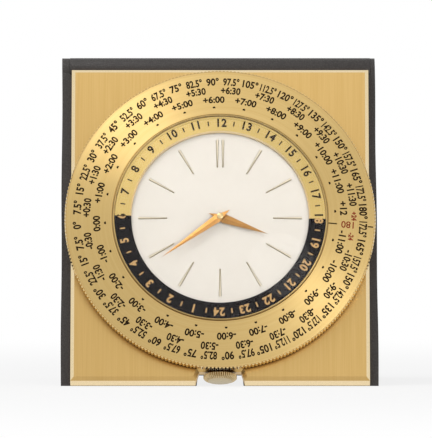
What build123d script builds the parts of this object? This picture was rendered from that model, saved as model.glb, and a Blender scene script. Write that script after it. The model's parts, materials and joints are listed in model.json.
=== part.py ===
from build123d import *
import os
from dataclasses import dataclass
from math import asin, atan2, cos, degrees, radians, sin, sqrt

os.makedirs("parts", exist_ok=True)

# World time clock on a folding leather stand. A brass front plate leans back on a leather board, and a
# leather flap hinged along the top edge stands behind it. A round case through both holds the movement.
# A reeded ring of places turns by hand round the case, and a ring of 24 hours turns once a day inside it.
# Lengths are in millimetres. On the clock, v runs up the plate and n runs out of the dial, from the
# plate's front face at the middle of the dial.

# Stance
lean = 18.0
flap_spread = 36.0

# Front plate, whose sides the ring of places overhangs
plate_side_inset = 1.8
plate_margin = 3.9
dial_rise = 0.45
plate_depth = 3.7
plate_face = 1.2
plate_wall = 1.2
plate_bevel = 1.0
notch_top_half = 5.9
notch_foot_half = 6.9
notch_height = 2.55

# Front board and its ears
board_thickness = 2.0
board_overlap = 2.3
board_drop = 0.75
ear_radius = 3.3
ear_width = 1.5
board_gap = 0.3

# Easel flap with its rolled top edge
roll_radius = 3.7
roll_setback = 7.1
roll_rise = 1.7
flap_inner = 3.9
flap_thickness = 2.5
flap_side_gap = 0.2
arch_radius = 7.0
hinge_pin_radius = 0.8

# Movement case: its radius sets all that is round, and the plate behind it
case_radius = 30.9
case_wall = 0.8
case_gap = 0.15
cover_clearance = 1.9
flange_width = 9.1
flange_thickness = 0.6
collar_step = 0.6
collar_wall = 0.55
ledge_width = 1.15
ledge_front = 1.85
movement_seat = 0.3
crystal_rim = 0.35
crystal_seat = 5.0
collar_front = 5.5
snap_groove_depth = 0.2
snap_groove_width = 0.5
snap_groove_back = 2.6

# Screws that hold the case to the plate
case_screw_offset = 6.1
case_screw_count = 4
case_screw_angle = 45.0
case_screw_radius = 0.6
case_screw_head = 1.1
case_screw_height = 0.3

# Ring of places
places_width = 12.9
places_back = 1.0
places_rim = 2.4
places_rise = 1.6
reed_count = 264
reed_depth = 0.35
reed_band = 0.25
places_groove = 0.15
snap_ring_width = 0.5
snap_ring_thickness = 0.35
snap_ring_gap = 40.0
spring_offset = 2.1
spring_width = 2.6
spring_thickness = 0.25
spring_sides = 48

# Ring of 24 hours
hours_width = 4.8
hours_back = 1.9
hours_plate_back = 4.1
hours_front = 4.7
hours_bevel = 0.4
hours_rim = 1.7
hours_tooth_face = 1.2
hours_tooth_inset = 2.75

# Dial and its markers
dial_overlap = 1.25
dial_back = 3.3
dial_thickness = 0.4
dial_hole = 1.1
dial_foot_radius = 0.5
dial_foot_inset = 4.7
marker_inset = 3.3
marker_length = 8.0
marker_width = 0.5
marker_height = 0.25
marker_pair = 1.6

# Crystal
crystal_edge = 0.5
crystal_dome = 2.3
crystal_wall = 0.9
crystal_hollow = 1.8
crystal_sides = 64
dome_steps = 3
dome_flat_share = 0.15

# Hands, with their angles clockwise from 12 at rest
hour_hand_angle = 110.0
hour_hand_inset = 0.8
hour_hand_half = 1.35
hour_hand_back = 4.4
minute_hand_angle = 234.0
minute_hand_inset = 2.7
minute_hand_half = 1.2
minute_hand_back = 5.15
hand_tail = 3.4
hand_waist = 1.2
hand_sheet = 0.12
hand_ridge = 0.34
hand_hub_wall = 0.35
hand_nut_radius = 0.6
hand_nut_height = 0.55

# Tooth forms, as shares of the module and of the tooth pitch
wheel_addendum_share = 0.85
wheel_dedendum_share = 1.05
wheel_tip_share = 0.16
wheel_root_share = 0.56
pinion_addendum_share = 0.6
pinion_dedendum_share = 1.3
pinion_tip_share = 0.14
pinion_root_share = 0.36

# Modules of the teeth, as shares of the case's bore
motion_module_share = 0.0116
train_module_share = 0.0133
fourth_module_share = 0.01

# Numbers of teeth
cannon_teeth = 12
minute_wheel_teeth = 36
minute_pinion_teeth = 10
hour_wheel_teeth = 40
drive_teeth = 40
idler_teeth = 20
hours_teeth = 80
barrel_teeth = 48
centre_pinion_teeth = 8
centre_wheel_teeth = 48
third_pinion_teeth = 6
third_wheel_teeth = 45
fourth_pinion_teeth = 6
fourth_wheel_teeth = 60
escape_pinion_teeth = 6
escape_teeth = 15
ratchet_teeth = 24

# Directions from one arbor to the next, in degrees from +X towards v
minute_wheel_direction = 62.0
idler_direction = -32.0
barrel_direction = 150.0
third_direction = 20.0
fourth_direction = -80.0
escape_direction = -150.0
pallet_direction = -170.0

# Motion work, from the back to the front
cannon_back = 0.45
motion_wheel_thickness = 0.5
motion_pinion_width = 0.85
hour_wheel_back = 1.3
drive_back = 2.0
drive_thickness = 1.0
cannon_tube = 0.6
hour_tube = 0.95
centre_arbor_radius = 0.35
post_radius = 0.55
idler_post_radius = 0.8
running_gap = 0.05
push_gap = 0.02
hub_radius = 2.4
rim_width = 1.1
spoke_count = 5
spoke_width = 1.2

# Main plate, bridge and cock
main_plate_thickness = 1.5
main_plate_gap = 0.05
bridge_play = 0.5
bridge_thickness = 1.5
bridge_share = 0.897
bridge_clearance = 0.8
pillar_share = 0.0532
pillar_circle_share = 0.8306
pillar_angles = (75.0, 165.0, 285.0, 345.0)
pivot_gap = 0.06
pivot_length = 1.0
arbor_radius = 0.45
peg_sides = 12
bridge_screw_head = 1.3
bridge_screw_height = 0.45
bridge_screw_shank = 0.55

# Going train levels behind the plate's front face
barrel_front = 1.6
barrel_height = 3.6
barrel_tooth_face = 0.9
barrel_drum_share = 0.92
barrel_arbor_radius = 0.9
ratchet_share = 0.1993
ratchet_thickness = 0.6
ratchet_tooth = 0.6
click_length = 5.0
click_width = 1.8
centre_pinion_front = 1.4
centre_pinion_width = 1.4
centre_wheel_front = 5.6
third_wheel_front = 3.2
fourth_wheel_front = 4.4
escape_wheel_front = 2.9
train_wheel_thickness = 0.5
train_pinion_width = 1.0
pinion_lead = 0.25
escape_share = 0.1495
escape_tooth = 1.0
escape_tip_share = 0.12
escape_lean_share = 0.35

# Lever and balance
lever_distance_share = 0.1993
lever_width = 0.7
lever_arm_share = 0.113
lever_arm_width = 0.6
pallet_share = 0.0631
lever_front = 2.9
lever_thickness = 0.4
fork_slot = 0.5
fork_width = 1.5
fork_gap = 0.15
balance_distance_share = 0.2259
balance_share = 0.1993
balance_rim = 0.9
balance_front = 4.6
balance_thickness = 0.7
roller_radius = 1.1
roller_front = 3.6
roller_thickness = 0.4
impulse_pin_radius = 0.2
cock_share = 0.1661

# Crown, stem and clutch
stem_depth = 2.2
stem_radius = 0.45
stem_inner_share = 0.5814
stem_tube_wall = 0.45
stem_tube_length = 3.2
crown_radius = 4.7
crown_knurls = 32
crown_knurl_depth = 0.22
crown_gap = 0.3
crown_height = 1.9
crown_round = 0.5
crown_shoulder = 1.2
stem_slot_gap = 0.5
clutch_radius = 1.6
clutch_start_share = 0.6179
clutch_length = 2.4
stem_pinion_radius = 1.9
stem_pinion_length = 1.6
keyless_gap = 0.4

# Back cover
cover_thickness = 0.8
cover_lip = 0.8
cover_lip_depth = 0.8

# One overrun serves every cut
overrun = 2.0

# Round sizes, each from the case's radius and a named step
case_bore = case_radius - case_wall
flange_radius = case_radius + flange_width
case_screw_circle = case_radius + case_screw_offset
spring_inner = case_radius + spring_offset
collar_radius = case_radius - collar_step
collar_bore = collar_radius - collar_wall
ledge_bore = collar_bore - ledge_width
crystal_bore = collar_radius - crystal_rim
places_radius = case_radius + places_width
hours_inner = collar_bore - hours_width
hours_pitch_radius = collar_bore - hours_tooth_inset
dial_radius = hours_inner + dial_overlap
dial_foot_circle = dial_radius - dial_foot_inset
marker_outer = dial_radius - marker_inset
marker_inner = marker_outer - marker_length
hour_hand_length = marker_inner - hour_hand_inset
minute_hand_length = marker_outer - minute_hand_inset
plate_width = 2 * (places_radius - plate_side_inset)
plate_height = 2 * places_radius + plate_margin
crown_top = places_radius + crown_gap

# Sizes across the movement, as shares of the case's bore
motion_module = case_bore * motion_module_share
train_module = case_bore * train_module_share
fourth_module = case_bore * fourth_module_share
hours_module = 2 * hours_pitch_radius / hours_teeth
bridge_radius = case_bore * bridge_share
pillar_radius = case_bore * pillar_share
pillar_circle = case_bore * pillar_circle_share
ratchet_radius = case_bore * ratchet_share
escape_radius = case_bore * escape_share
lever_distance = case_bore * lever_distance_share
lever_arm_reach = case_bore * lever_arm_share
pallet_reach = case_bore * pallet_share
balance_distance = case_bore * balance_distance_share
balance_radius = case_bore * balance_share
cock_width = case_bore * cock_share
stem_inner_end = case_bore * stem_inner_share
clutch_start = case_bore * clutch_start_share

# Levels that follow the wheels they serve
third_pinion_front = centre_wheel_front - pinion_lead
fourth_pinion_front = third_wheel_front - pinion_lead
escape_pinion_front = fourth_wheel_front - pinion_lead
bridge_back = centre_wheel_front + train_wheel_thickness + bridge_play + bridge_thickness
case_back = bridge_back + cover_clearance

# Places worked out from the sizes
plate_top = plate_height / 2 - dial_rise
plate_foot = -plate_height / 2 - dial_rise
notch_top = plate_foot + notch_height
board_back = -plate_depth - board_thickness
board_foot = plate_foot - board_drop
board_half = plate_width / 2 + board_overlap
roll_v = plate_top + roll_rise
roll_n = -roll_setback
flap_half = board_half - ear_width - flap_side_gap
flap_lean = flap_spread - lean
flap_outer = flap_inner + flap_thickness
places_bore = collar_radius + running_gap
places_edge_front = places_back + places_rim
movement_back = movement_seat - main_plate_thickness

# Directions on the clock and on the flap
up = Vector(0, sin(radians(lean)), cos(radians(lean)))
out = Vector(0, -cos(radians(lean)), sin(radians(lean)))
flap_up = Vector(0, -sin(radians(flap_lean)), cos(radians(flap_lean)))
flap_out = Vector(0, cos(radians(flap_lean)), sin(radians(flap_lean)))
across = Vector(1, 0, 0)


def reach(v, n):
    """The vector from the middle of the dial to a place v up and n out."""
    return up * v + out * n


# The board's front bottom edge stands on the table, and so does the flap's whole foot
dial_height = -reach(board_foot, -plate_depth).Z
hinge_height = dial_height + reach(roll_v, roll_n).Z
flap_length = (hinge_height + flap_outer * flap_out.Z) / flap_up.Z
front_reach = min(reach(-places_radius, places_edge_front).Y, reach(-crown_top, crown_radius - stem_depth).Y)
back_reach = (reach(roll_v, roll_n) - flap_up * flap_length + flap_out * flap_outer).Y
dial_middle = Vector(0, -(front_reach + back_reach) / 2, dial_height)
hinge_middle = dial_middle + reach(roll_v, roll_n)

# Working planes: the dial's, the one that turned profiles lie on, and the ones that show the side
face = Plane(origin=dial_middle, x_dir=across, z_dir=out)
turning = Plane(origin=dial_middle, x_dir=across, z_dir=-up)
side = Plane(origin=dial_middle, x_dir=up, z_dir=across)
flap_side = Plane(origin=hinge_middle, x_dir=flap_up, z_dir=across)
flap_face = Plane(origin=hinge_middle, x_dir=across, z_dir=-flap_out)
stem_plane = face.offset(-stem_depth)
dial_axis = Axis(dial_middle, out)
stem_axis = Axis(dial_middle - out * stem_depth, up)


def polar(radius, angle):
    """A point at a radius and an angle in degrees from +X."""
    return (radius * cos(radians(angle)), radius * sin(radians(angle)))


def clockwise(angle):
    """The angle from +X of a clock angle measured clockwise from 12."""
    return 90.0 - angle


@dataclass(frozen=True)
class Gear:
    """A spur gear on the clock: its teeth, its centre and the angle of one tooth."""

    teeth: int
    module: float
    x: float = 0.0
    v: float = 0.0
    turn: float = 0.0
    slim: bool = False

    @property
    def pitch_radius(self):
        return self.teeth * self.module / 2

    @property
    def pitch_angle(self):
        return 360.0 / self.teeth

    @property
    def tip_radius(self):
        return self.pitch_radius + self.module * (pinion_addendum_share if self.slim else wheel_addendum_share)

    @property
    def root_radius(self):
        return self.pitch_radius - self.module * (pinion_dedendum_share if self.slim else wheel_dedendum_share)

    def outline(self):
        """The corners of every tooth, with straight flanks."""
        tip_half = self.pitch_angle / 2 * (pinion_tip_share if self.slim else wheel_tip_share)
        root_half = self.pitch_angle / 2 * (pinion_root_share if self.slim else wheel_root_share)
        tip_half *= self.pitch_radius / self.tip_radius
        root_half *= self.pitch_radius / self.root_radius
        corners = tooth_corners(self.teeth, self.turn, self.root_radius, root_half, self.tip_radius, tip_half)
        return [(self.x + x, self.v + v) for x, v in corners]


def tooth_corners(teeth, turn, root_radius, root_half, tip_radius, tip_half):
    """Four corners for each tooth, in order round the circle."""
    corners = []
    for number in range(teeth):
        middle = turn + 360.0 / teeth * number
        corners.append(polar(root_radius, middle - root_half))
        corners.append(polar(tip_radius, middle - tip_half))
        corners.append(polar(tip_radius, middle + tip_half))
        corners.append(polar(root_radius, middle + root_half))
    return corners


def meshed(driver, teeth, direction, slim=False):
    """A gear in mesh with the driver, its centre in a direction from the driver's."""
    follower_pitch = 360.0 / teeth
    distance = (driver.teeth + teeth) * driver.module / 2
    x, v = polar(distance, direction)
    phase = (driver.turn - direction) / driver.pitch_angle
    turn = direction + 180.0 + follower_pitch * (0.5 - phase)
    return Gear(teeth, driver.module, driver.x + x, driver.v + v, turn, slim)


def on_arbor_of(gear, teeth, module, slim=False, turn=0.0):
    """Another gear on the same arbor."""
    return Gear(teeth, module, gear.x, gear.v, turn, slim)


# The gears: motion work, the drive of the 24 hours, and the going train
cannon = Gear(cannon_teeth, motion_module, slim=True)
minute_wheel_gear = meshed(cannon, minute_wheel_teeth, minute_wheel_direction)
hour_module = (cannon_teeth + minute_wheel_teeth) * motion_module / (minute_pinion_teeth + hour_wheel_teeth)
minute_pinion = on_arbor_of(minute_wheel_gear, minute_pinion_teeth, hour_module, slim=True)
hour_gear = meshed(minute_pinion, hour_wheel_teeth, minute_wheel_direction + 180.0)
drive_gear = Gear(drive_teeth, hours_module)
idler_gear = meshed(drive_gear, idler_teeth, idler_direction)
hours_pitch_angle = 360.0 / hours_teeth
hours_phase = (idler_gear.turn - idler_direction) / idler_gear.pitch_angle
hours_turn = idler_direction + hours_pitch_angle * (0.5 + hours_phase)
centre_pinion = Gear(centre_pinion_teeth, train_module, slim=True)
barrel_gear = meshed(centre_pinion, barrel_teeth, barrel_direction)
centre_gear = Gear(centre_wheel_teeth, train_module)
third_pinion = meshed(centre_gear, third_pinion_teeth, third_direction, slim=True)
third_gear = on_arbor_of(third_pinion, third_wheel_teeth, train_module)
fourth_pinion = meshed(third_gear, fourth_pinion_teeth, fourth_direction, slim=True)
fourth_gear = on_arbor_of(fourth_pinion, fourth_wheel_teeth, fourth_module)
escape_pinion = meshed(fourth_gear, escape_pinion_teeth, escape_direction, slim=True)
pallet_x = escape_pinion.x + polar(lever_distance, pallet_direction)[0]
pallet_v = escape_pinion.v + polar(lever_distance, pallet_direction)[1]
balance_x = pallet_x + polar(balance_distance, pallet_direction)[0]
balance_v = pallet_v + polar(balance_distance, pallet_direction)[1]
train_pivots = (
    (third_gear.x, third_gear.v),
    (fourth_gear.x, fourth_gear.v),
    (escape_pinion.x, escape_pinion.v),
    (pallet_x, pallet_v),
    (balance_x, balance_v),
)
barrel_place = (barrel_gear.x, barrel_gear.v)


def gear_blank(gear, level, thickness, bore=0.0):
    """Add a toothed disc whose back face lies at the level, with a bore where it has one."""
    with BuildSketch(face.offset(level)) as blank:
        with BuildLine():
            Polyline(*gear.outline(), close=True)
        make_face()
        if bore:
            with Locations((gear.x, gear.v)):
                RegularPolygon(bore, peg_sides, major_radius=False, mode=Mode.SUBTRACT)
    extrude(blank.sketch, amount=thickness)


def crossings(gear, level, thickness, hub=hub_radius):
    """Cut the windows between a wheel's spokes."""
    rim = gear.root_radius - rim_width
    outer_half = degrees(spoke_width / 2 / rim)
    inner_half = degrees(spoke_width / 2 / hub)
    step = 360.0 / spoke_count
    with BuildSketch(face.offset(level)) as windows:
        for number in range(spoke_count):
            first = step * number
            corners = (
                polar(hub, first + inner_half),
                polar(rim, first + outer_half),
                polar(rim, first + step - outer_half),
                polar(hub, first + step - inner_half),
            )
            with BuildLine():
                Polyline(*[(gear.x + x, gear.v + v) for x, v in corners], close=True)
            make_face()
    extrude(windows.sketch, amount=thickness, mode=Mode.SUBTRACT)


def rod(x, v, radius, back, front):
    """Add a round rod along n between two levels."""
    with BuildSketch(face.offset(back)) as section:
        with Locations((x, v)):
            Circle(radius)
    extrude(section.sketch, amount=front - back)


def peg(x, v, radius, back, front):
    """Add a small round rod, drawn with a few flat sides."""
    with BuildSketch(face.offset(back)) as section:
        with Locations((x, v)):
            RegularPolygon(radius, peg_sides)
    extrude(section.sketch, amount=front - back)


def peg_holes(places, radius, back, front):
    """Cut small holes along n whose flat sides clear a radius."""
    with BuildSketch(face.offset(back)) as holes:
        with Locations(*places):
            RegularPolygon(radius, peg_sides, major_radius=False)
    extrude(holes.sketch, amount=front - back, mode=Mode.SUBTRACT)


def bores(places, radius, back, front):
    """Cut round holes along n between two levels."""
    with BuildSketch(face.offset(back)) as holes:
        with Locations(*places):
            Circle(radius)
    extrude(holes.sketch, amount=front - back, mode=Mode.SUBTRACT)


def turned(corners):
    """Add a turned piece from its half profile of radius and n."""
    with BuildSketch(turning) as profile:
        with BuildLine():
            Polyline(*corners, close=True)
        make_face()
    revolve(profile.sketch, axis=dial_axis)


def across_stem(distance):
    """The plane square to the stem at a distance below the dial's middle."""
    return Plane(origin=dial_middle - up * distance - out * stem_depth, x_dir=across, z_dir=-up)


def finish(part, name):
    """Label a piece and write its STEP file."""
    part.part.label = name
    export_step(part.part, "parts/" + name + ".step")


def plate_outline():
    """The corners of the front plate with the notch for the crown."""
    half = plate_width / 2
    return (
        (-half, plate_foot),
        (-half, plate_top),
        (half, plate_top),
        (half, plate_foot),
        (notch_foot_half, plate_foot),
        (notch_top_half, notch_top),
        (-notch_top_half, notch_top),
        (-notch_foot_half, plate_foot),
    )


# Front plate: a shallow brass pan with bevelled edges
with BuildPart() as front_plate:
    with BuildSketch(face.offset(-plate_depth)):
        with BuildLine():
            Polyline(*plate_outline(), close=True)
        make_face()
    extrude(amount=plate_depth)
    front_edges = front_plate.faces().sort_by(Axis(dial_middle, out))[-1].edges()
    chamfer(front_edges, length=plate_bevel)
    with BuildSketch(face.offset(-plate_depth)):
        with BuildLine():
            Polyline(*plate_outline(), close=True)
        make_face()
        offset(amount=-plate_wall, kind=Kind.INTERSECTION, mode=Mode.REPLACE)
    extrude(amount=plate_depth - plate_face, mode=Mode.SUBTRACT)
    bores([(0, 0)], case_radius + case_gap, -plate_depth - overrun, overrun)
    with BuildSketch(face.offset(-plate_depth)):
        with Locations((0, notch_top + plate_wall / 2)):
            Rectangle(2 * (stem_radius + stem_slot_gap), plate_wall + overrun)
    extrude(amount=plate_depth - stem_depth + stem_radius + stem_slot_gap, mode=Mode.SUBTRACT)
    screw_places = [
        polar(case_screw_circle, case_screw_angle + 360.0 / case_screw_count * number)
        for number in range(case_screw_count)
    ]
    peg_holes(screw_places, case_screw_radius + pivot_gap, -plate_depth, overrun)
finish(front_plate, "front_plate")

# Front board: leather over a stiff core, cut level where it stands, with two ears for the hinge pin
with BuildPart() as front_board:
    with BuildSketch(side):
        with Locations((board_foot - overrun, board_back)):
            Rectangle(plate_top - board_foot + overrun, board_thickness, align=(Align.MIN, Align.MIN))
    extrude(amount=board_half, both=True)
    with BuildSketch(side):
        with Locations((roll_v, roll_n)):
            Circle(roll_radius + board_gap)
    extrude(amount=flap_half + flap_side_gap, both=True, mode=Mode.SUBTRACT)
    for inner_face in (board_half - ear_width, -board_half):
        with BuildSketch(side.offset(inner_face)):
            with Locations((roll_v, roll_n)):
                Circle(ear_radius)
            with Locations((plate_top - 2 * ear_radius, board_back)):
                Rectangle(ear_radius, board_thickness, align=(Align.MIN, Align.MIN))
            make_hull()
        extrude(amount=ear_width)
    with BuildSketch(side):
        with Locations((roll_v, roll_n)):
            Circle(hinge_pin_radius + running_gap)
    extrude(amount=board_half + overrun, both=True, mode=Mode.SUBTRACT)
    with BuildSketch(face.offset(board_back - overrun)):
        Circle(case_radius + board_gap)
        with BuildLine():
            Polyline(
                (-notch_foot_half - board_gap, board_foot - 2 * overrun),
                (-notch_top_half - board_gap, notch_top + board_gap),
                (notch_top_half + board_gap, notch_top + board_gap),
                (notch_foot_half + board_gap, board_foot - 2 * overrun),
                close=True,
            )
        make_face()
    extrude(amount=board_thickness + overrun, mode=Mode.SUBTRACT)
    split(bisect_by=Plane.XY, keep=Keep.TOP)
finish(front_board, "front_board")

# Easel flap: the rear leaf of the stand, whose rolled top edge turns between the board's ears
with BuildPart() as easel_flap:
    with BuildSketch(flap_side):
        Circle(roll_radius)
        with Locations((0, flap_thickness / 2 - flap_outer)):
            Circle(flap_thickness / 2)
        make_hull()
        with Locations((-flap_length - overrun, -flap_outer)):
            Rectangle(flap_length + overrun, flap_thickness, align=(Align.MIN, Align.MIN))
    extrude(amount=flap_half, both=True)
    with BuildSketch(flap_side):
        Circle(hinge_pin_radius + running_gap)
    extrude(amount=flap_half + overrun, both=True, mode=Mode.SUBTRACT)
    with BuildSketch(flap_face):
        with Locations((0, -flap_length)):
            Circle(arch_radius)
    extrude(amount=-flap_outer - overrun, mode=Mode.SUBTRACT)
    split(bisect_by=Plane.XY, keep=Keep.TOP)
finish(easel_flap, "easel_flap")

# Hinge pin through the ears and the roll
with BuildPart() as hinge_pin:
    with BuildSketch(flap_side):
        Circle(hinge_pin_radius)
    extrude(amount=board_half - running_gap, both=True)
finish(hinge_pin, "hinge_pin")

# Movement case: a turned cup with the collar that the ring of places turns on
with BuildPart() as movement_case:
    turned(
        (
            (flange_radius, 0),
            (flange_radius, flange_thickness),
            (collar_radius, flange_thickness),
            (collar_radius, snap_groove_back),
            (collar_radius - snap_groove_depth, snap_groove_back),
            (collar_radius - snap_groove_depth, snap_groove_back + snap_groove_width),
            (collar_radius, snap_groove_back + snap_groove_width),
            (collar_radius, collar_front),
            (crystal_bore, collar_front),
            (crystal_bore, crystal_seat),
            (collar_bore, crystal_seat),
            (collar_bore, ledge_front),
            (ledge_bore, ledge_front),
            (ledge_bore, movement_seat),
            (case_bore, movement_seat),
            (case_bore, -case_back),
            (case_radius, -case_back),
            (case_radius, 0),
        )
    )
    peg_holes(screw_places, case_screw_radius + pivot_gap, -overrun, overrun)
    with BuildSketch(across_stem(0)):
        RegularPolygon(stem_radius + stem_tube_wall + 2 * running_gap, peg_sides, major_radius=False)
    extrude(amount=case_radius + overrun, mode=Mode.SUBTRACT)
finish(movement_case, "movement_case")

# Screws that hold the case's flange to the plate
with BuildPart() as case_screws:
    for screw_x, screw_v in screw_places:
        peg(screw_x, screw_v, case_screw_radius, -plate_face, flange_thickness)
        peg(screw_x, screw_v, case_screw_head, flange_thickness, flange_thickness + case_screw_height)
finish(case_screws, "case_screws")

# Friction spring between the flange and the ring of places
with BuildPart() as friction_spring:
    with BuildSketch(face.offset(flange_thickness)):
        RegularPolygon(spring_inner + spring_width, spring_sides)
        RegularPolygon(spring_inner, spring_sides, mode=Mode.SUBTRACT)
    extrude(amount=spring_thickness)
finish(friction_spring, "friction_spring")

# Ring of places, with a reeded edge to turn it by
reeds = []
for reed in range(reed_count):
    reeds.append(polar(places_radius, 360.0 / reed_count * reed))
    reeds.append(polar(places_radius - reed_depth, 360.0 / reed_count * (reed + 0.5)))
snap_ring_outer = collar_radius - snap_groove_depth + snap_ring_width
with BuildPart() as places_ring:
    turned(
        (
            (places_bore, places_back),
            (places_radius, places_back),
            (places_radius, places_edge_front),
            (places_radius - reed_depth - reed_band, places_edge_front),
            (places_bore, places_edge_front + places_rise),
            (places_bore, snap_groove_back + snap_groove_width),
            (snap_ring_outer + places_groove, snap_groove_back + snap_groove_width),
            (snap_ring_outer + places_groove, snap_groove_back),
            (places_bore, snap_groove_back),
        )
    )
    with BuildSketch(face.offset(places_back)):
        with BuildLine():
            Polyline(*reeds, close=True)
        make_face()
    extrude(amount=places_rim + places_rise, mode=Mode.INTERSECT)
finish(places_ring, "places_ring")

# Snap ring that keeps the ring of places on the collar
with BuildPart() as snap_ring:
    snap_ring_back = snap_groove_back + (snap_groove_width - snap_ring_thickness) / 2
    turned(
        (
            (collar_radius - snap_groove_depth + running_gap, snap_ring_back),
            (snap_ring_outer, snap_ring_back),
            (snap_ring_outer, snap_ring_back + snap_ring_thickness),
            (collar_radius - snap_groove_depth + running_gap, snap_ring_back + snap_ring_thickness),
        )
    )
    gap_half = snap_ring_gap / 2
    with BuildSketch(face.offset(snap_ring_back)):
        with BuildLine():
            Polyline(
                (0, 0),
                polar(2 * collar_radius, 90.0 - gap_half),
                polar(2 * collar_radius, 90.0 + gap_half),
                close=True,
            )
        make_face()
    extrude(amount=snap_ring_thickness, mode=Mode.SUBTRACT)
finish(snap_ring, "snap_ring")

# Ring of 24 hours, with the inward teeth that drive it
hours_outer = collar_bore - running_gap
hours_tip = hours_pitch_radius - wheel_addendum_share * hours_module
hours_root = hours_pitch_radius + wheel_dedendum_share * hours_module
with BuildPart() as hours_ring:
    turned(
        (
            (hours_inner + hours_bevel, hours_front),
            (hours_outer, hours_front),
            (hours_outer, hours_back),
            (hours_outer - hours_rim, hours_back),
            (hours_outer - hours_rim, hours_plate_back),
            (hours_inner, hours_plate_back),
            (hours_inner, hours_front - hours_bevel),
        )
    )
    with BuildSketch(face.offset(hours_back)):
        Circle(hours_outer)
        with BuildLine():
            Polyline(
                *tooth_corners(
                    hours_teeth,
                    hours_turn,
                    hours_root,
                    hours_pitch_angle / 2 * wheel_root_share * hours_pitch_radius / hours_root,
                    hours_tip,
                    hours_pitch_angle / 2 * wheel_tip_share * hours_pitch_radius / hours_tip,
                ),
                close=True,
            )
        make_face(mode=Mode.SUBTRACT)
    extrude(amount=hours_tooth_face)
finish(hours_ring, "hours_ring")

# Dial with two feet that go into the main plate
dial_feet = (polar(dial_foot_circle, 90.0), polar(dial_foot_circle, 210.0))
with BuildPart() as dial:
    rod(0, 0, dial_radius, dial_back, dial_back + dial_thickness)
    for foot_x, foot_v in dial_feet:
        peg(foot_x, foot_v, dial_foot_radius, movement_seat - main_plate_thickness / 2, dial_back)
    bores([(0, 0)], dial_hole, dial_back, dial_back + dial_thickness)
finish(dial, "dial")

# Applied markers: one at each hour and a pair at 12
marker_front = dial_back + dial_thickness
with BuildPart() as hour_markers:
    with BuildSketch(face.offset(marker_front)):
        for hour in range(1, 12):
            with Locations(Location((0, 0), clockwise(30.0 * hour))):
                with Locations((marker_inner, 0)):
                    Rectangle(marker_outer - marker_inner, marker_width, align=(Align.MIN, Align.CENTER))
        with Locations((-marker_pair / 2, marker_inner), (marker_pair / 2, marker_inner)):
            Rectangle(marker_width, marker_outer - marker_inner, align=(Align.CENTER, Align.MIN))
    extrude(amount=marker_height)
finish(hour_markers, "hour_markers")


# Crystal: a clear dome, hollow behind, on the collar's shoulder
crystal_radius = crystal_bore - running_gap
crystal_inner = crystal_radius - crystal_wall
crystal_sphere = (crystal_radius**2 + crystal_dome**2) / (2 * crystal_dome)
crystal_slope = degrees(asin(crystal_radius / crystal_sphere))
dome_middle = crystal_seat + crystal_edge + crystal_dome - crystal_sphere


def dome_ring(step):
    """The radius and level of one ring of the dome, from its edge to the flat at its top."""
    share = 1 - (1 - dome_flat_share) * step / dome_steps
    radius, height = polar(crystal_sphere, 90.0 - crystal_slope * share)
    return radius, dome_middle + height


def narrowed(foot, top, mode=Mode.ADD):
    """Add or cut a many-sided disc that narrows from one radius and level to the next."""
    rise = top[1] - foot[1]
    inset = (foot[0] - top[0]) * cos(radians(180.0 / crystal_sides))
    with BuildSketch(face.offset(foot[1])) as disc:
        RegularPolygon(foot[0], crystal_sides)
    extrude(disc.sketch, amount=rise, taper=degrees(atan2(inset, rise)), mode=mode)


with BuildPart() as crystal:
    narrowed((crystal_radius, crystal_seat), (crystal_radius, crystal_seat + crystal_edge))
    for step in range(dome_steps):
        narrowed(dome_ring(step), dome_ring(step + 1))
    hollow_top = (crystal_inner * dome_flat_share, crystal_seat + crystal_hollow)
    narrowed((crystal_inner, crystal_seat), hollow_top, Mode.SUBTRACT)
finish(crystal, "crystal")


def hand(name, angle, length, half, back, bore, hub):
    """A faceted hand with a kite tail, pointing along a clock angle."""
    along = clockwise(angle)
    ahead = polar(hand_waist, along)
    beside = polar(half, along + 90.0)
    with BuildPart() as blade:
        with BuildSketch(face.offset(back)):
            with BuildLine():
                Polyline(
                    polar(length, along),
                    (ahead[0] + beside[0], ahead[1] + beside[1]),
                    polar(-hand_tail, along),
                    (ahead[0] - beside[0], ahead[1] - beside[1]),
                    close=True,
                )
            make_face()
        extrude(amount=hand_sheet)
        sheet_front = blade.faces().sort_by(dial_axis)[-1]
        ridge = dial_middle + reach(ahead[1], back + hand_sheet + hand_ridge) + across * ahead[0]
        loft(sections=[sheet_front, Vertex(*ridge)], ruled=True)
        peg(0, 0, hub, back, back + hand_sheet)
        peg_holes([(0, 0)], bore, back - overrun, back + overrun)
    finish(blade, name)
    return blade


# Hands on their tubes, and the nut on the centre arbor
hour_hand = hand(
    "hour_hand",
    hour_hand_angle,
    hour_hand_length,
    hour_hand_half,
    hour_hand_back,
    hour_tube + push_gap,
    hour_tube + hand_hub_wall,
)
minute_hand = hand(
    "minute_hand",
    minute_hand_angle,
    minute_hand_length,
    minute_hand_half,
    minute_hand_back,
    centre_arbor_radius + push_gap,
    cannon_tube + hand_hub_wall,
)
nut_back = minute_hand_back + hand_sheet + hand_ridge
with BuildPart() as hand_nut:
    peg(0, 0, hand_nut_radius, nut_back, nut_back + hand_nut_height)
    peg_holes([(0, 0)], centre_arbor_radius + push_gap, nut_back, nut_back + hand_nut_height / 2)
finish(hand_nut, "hand_nut")

# Motion work under the dial
with BuildPart() as cannon_pinion:
    gear_blank(cannon, cannon_back, motion_wheel_thickness, centre_arbor_radius + push_gap)
    peg(0, 0, cannon_tube, cannon_back, minute_hand_back)
    peg_holes([(0, 0)], centre_arbor_radius + push_gap, cannon_back, minute_hand_back)
finish(cannon_pinion, "cannon_pinion")

with BuildPart() as minute_wheel:
    pinion_back = cannon_back + motion_wheel_thickness
    gear_blank(minute_wheel_gear, cannon_back, motion_wheel_thickness, post_radius + running_gap)
    gear_blank(minute_pinion, pinion_back, motion_pinion_width, post_radius + running_gap)
finish(minute_wheel, "minute_wheel")

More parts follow.
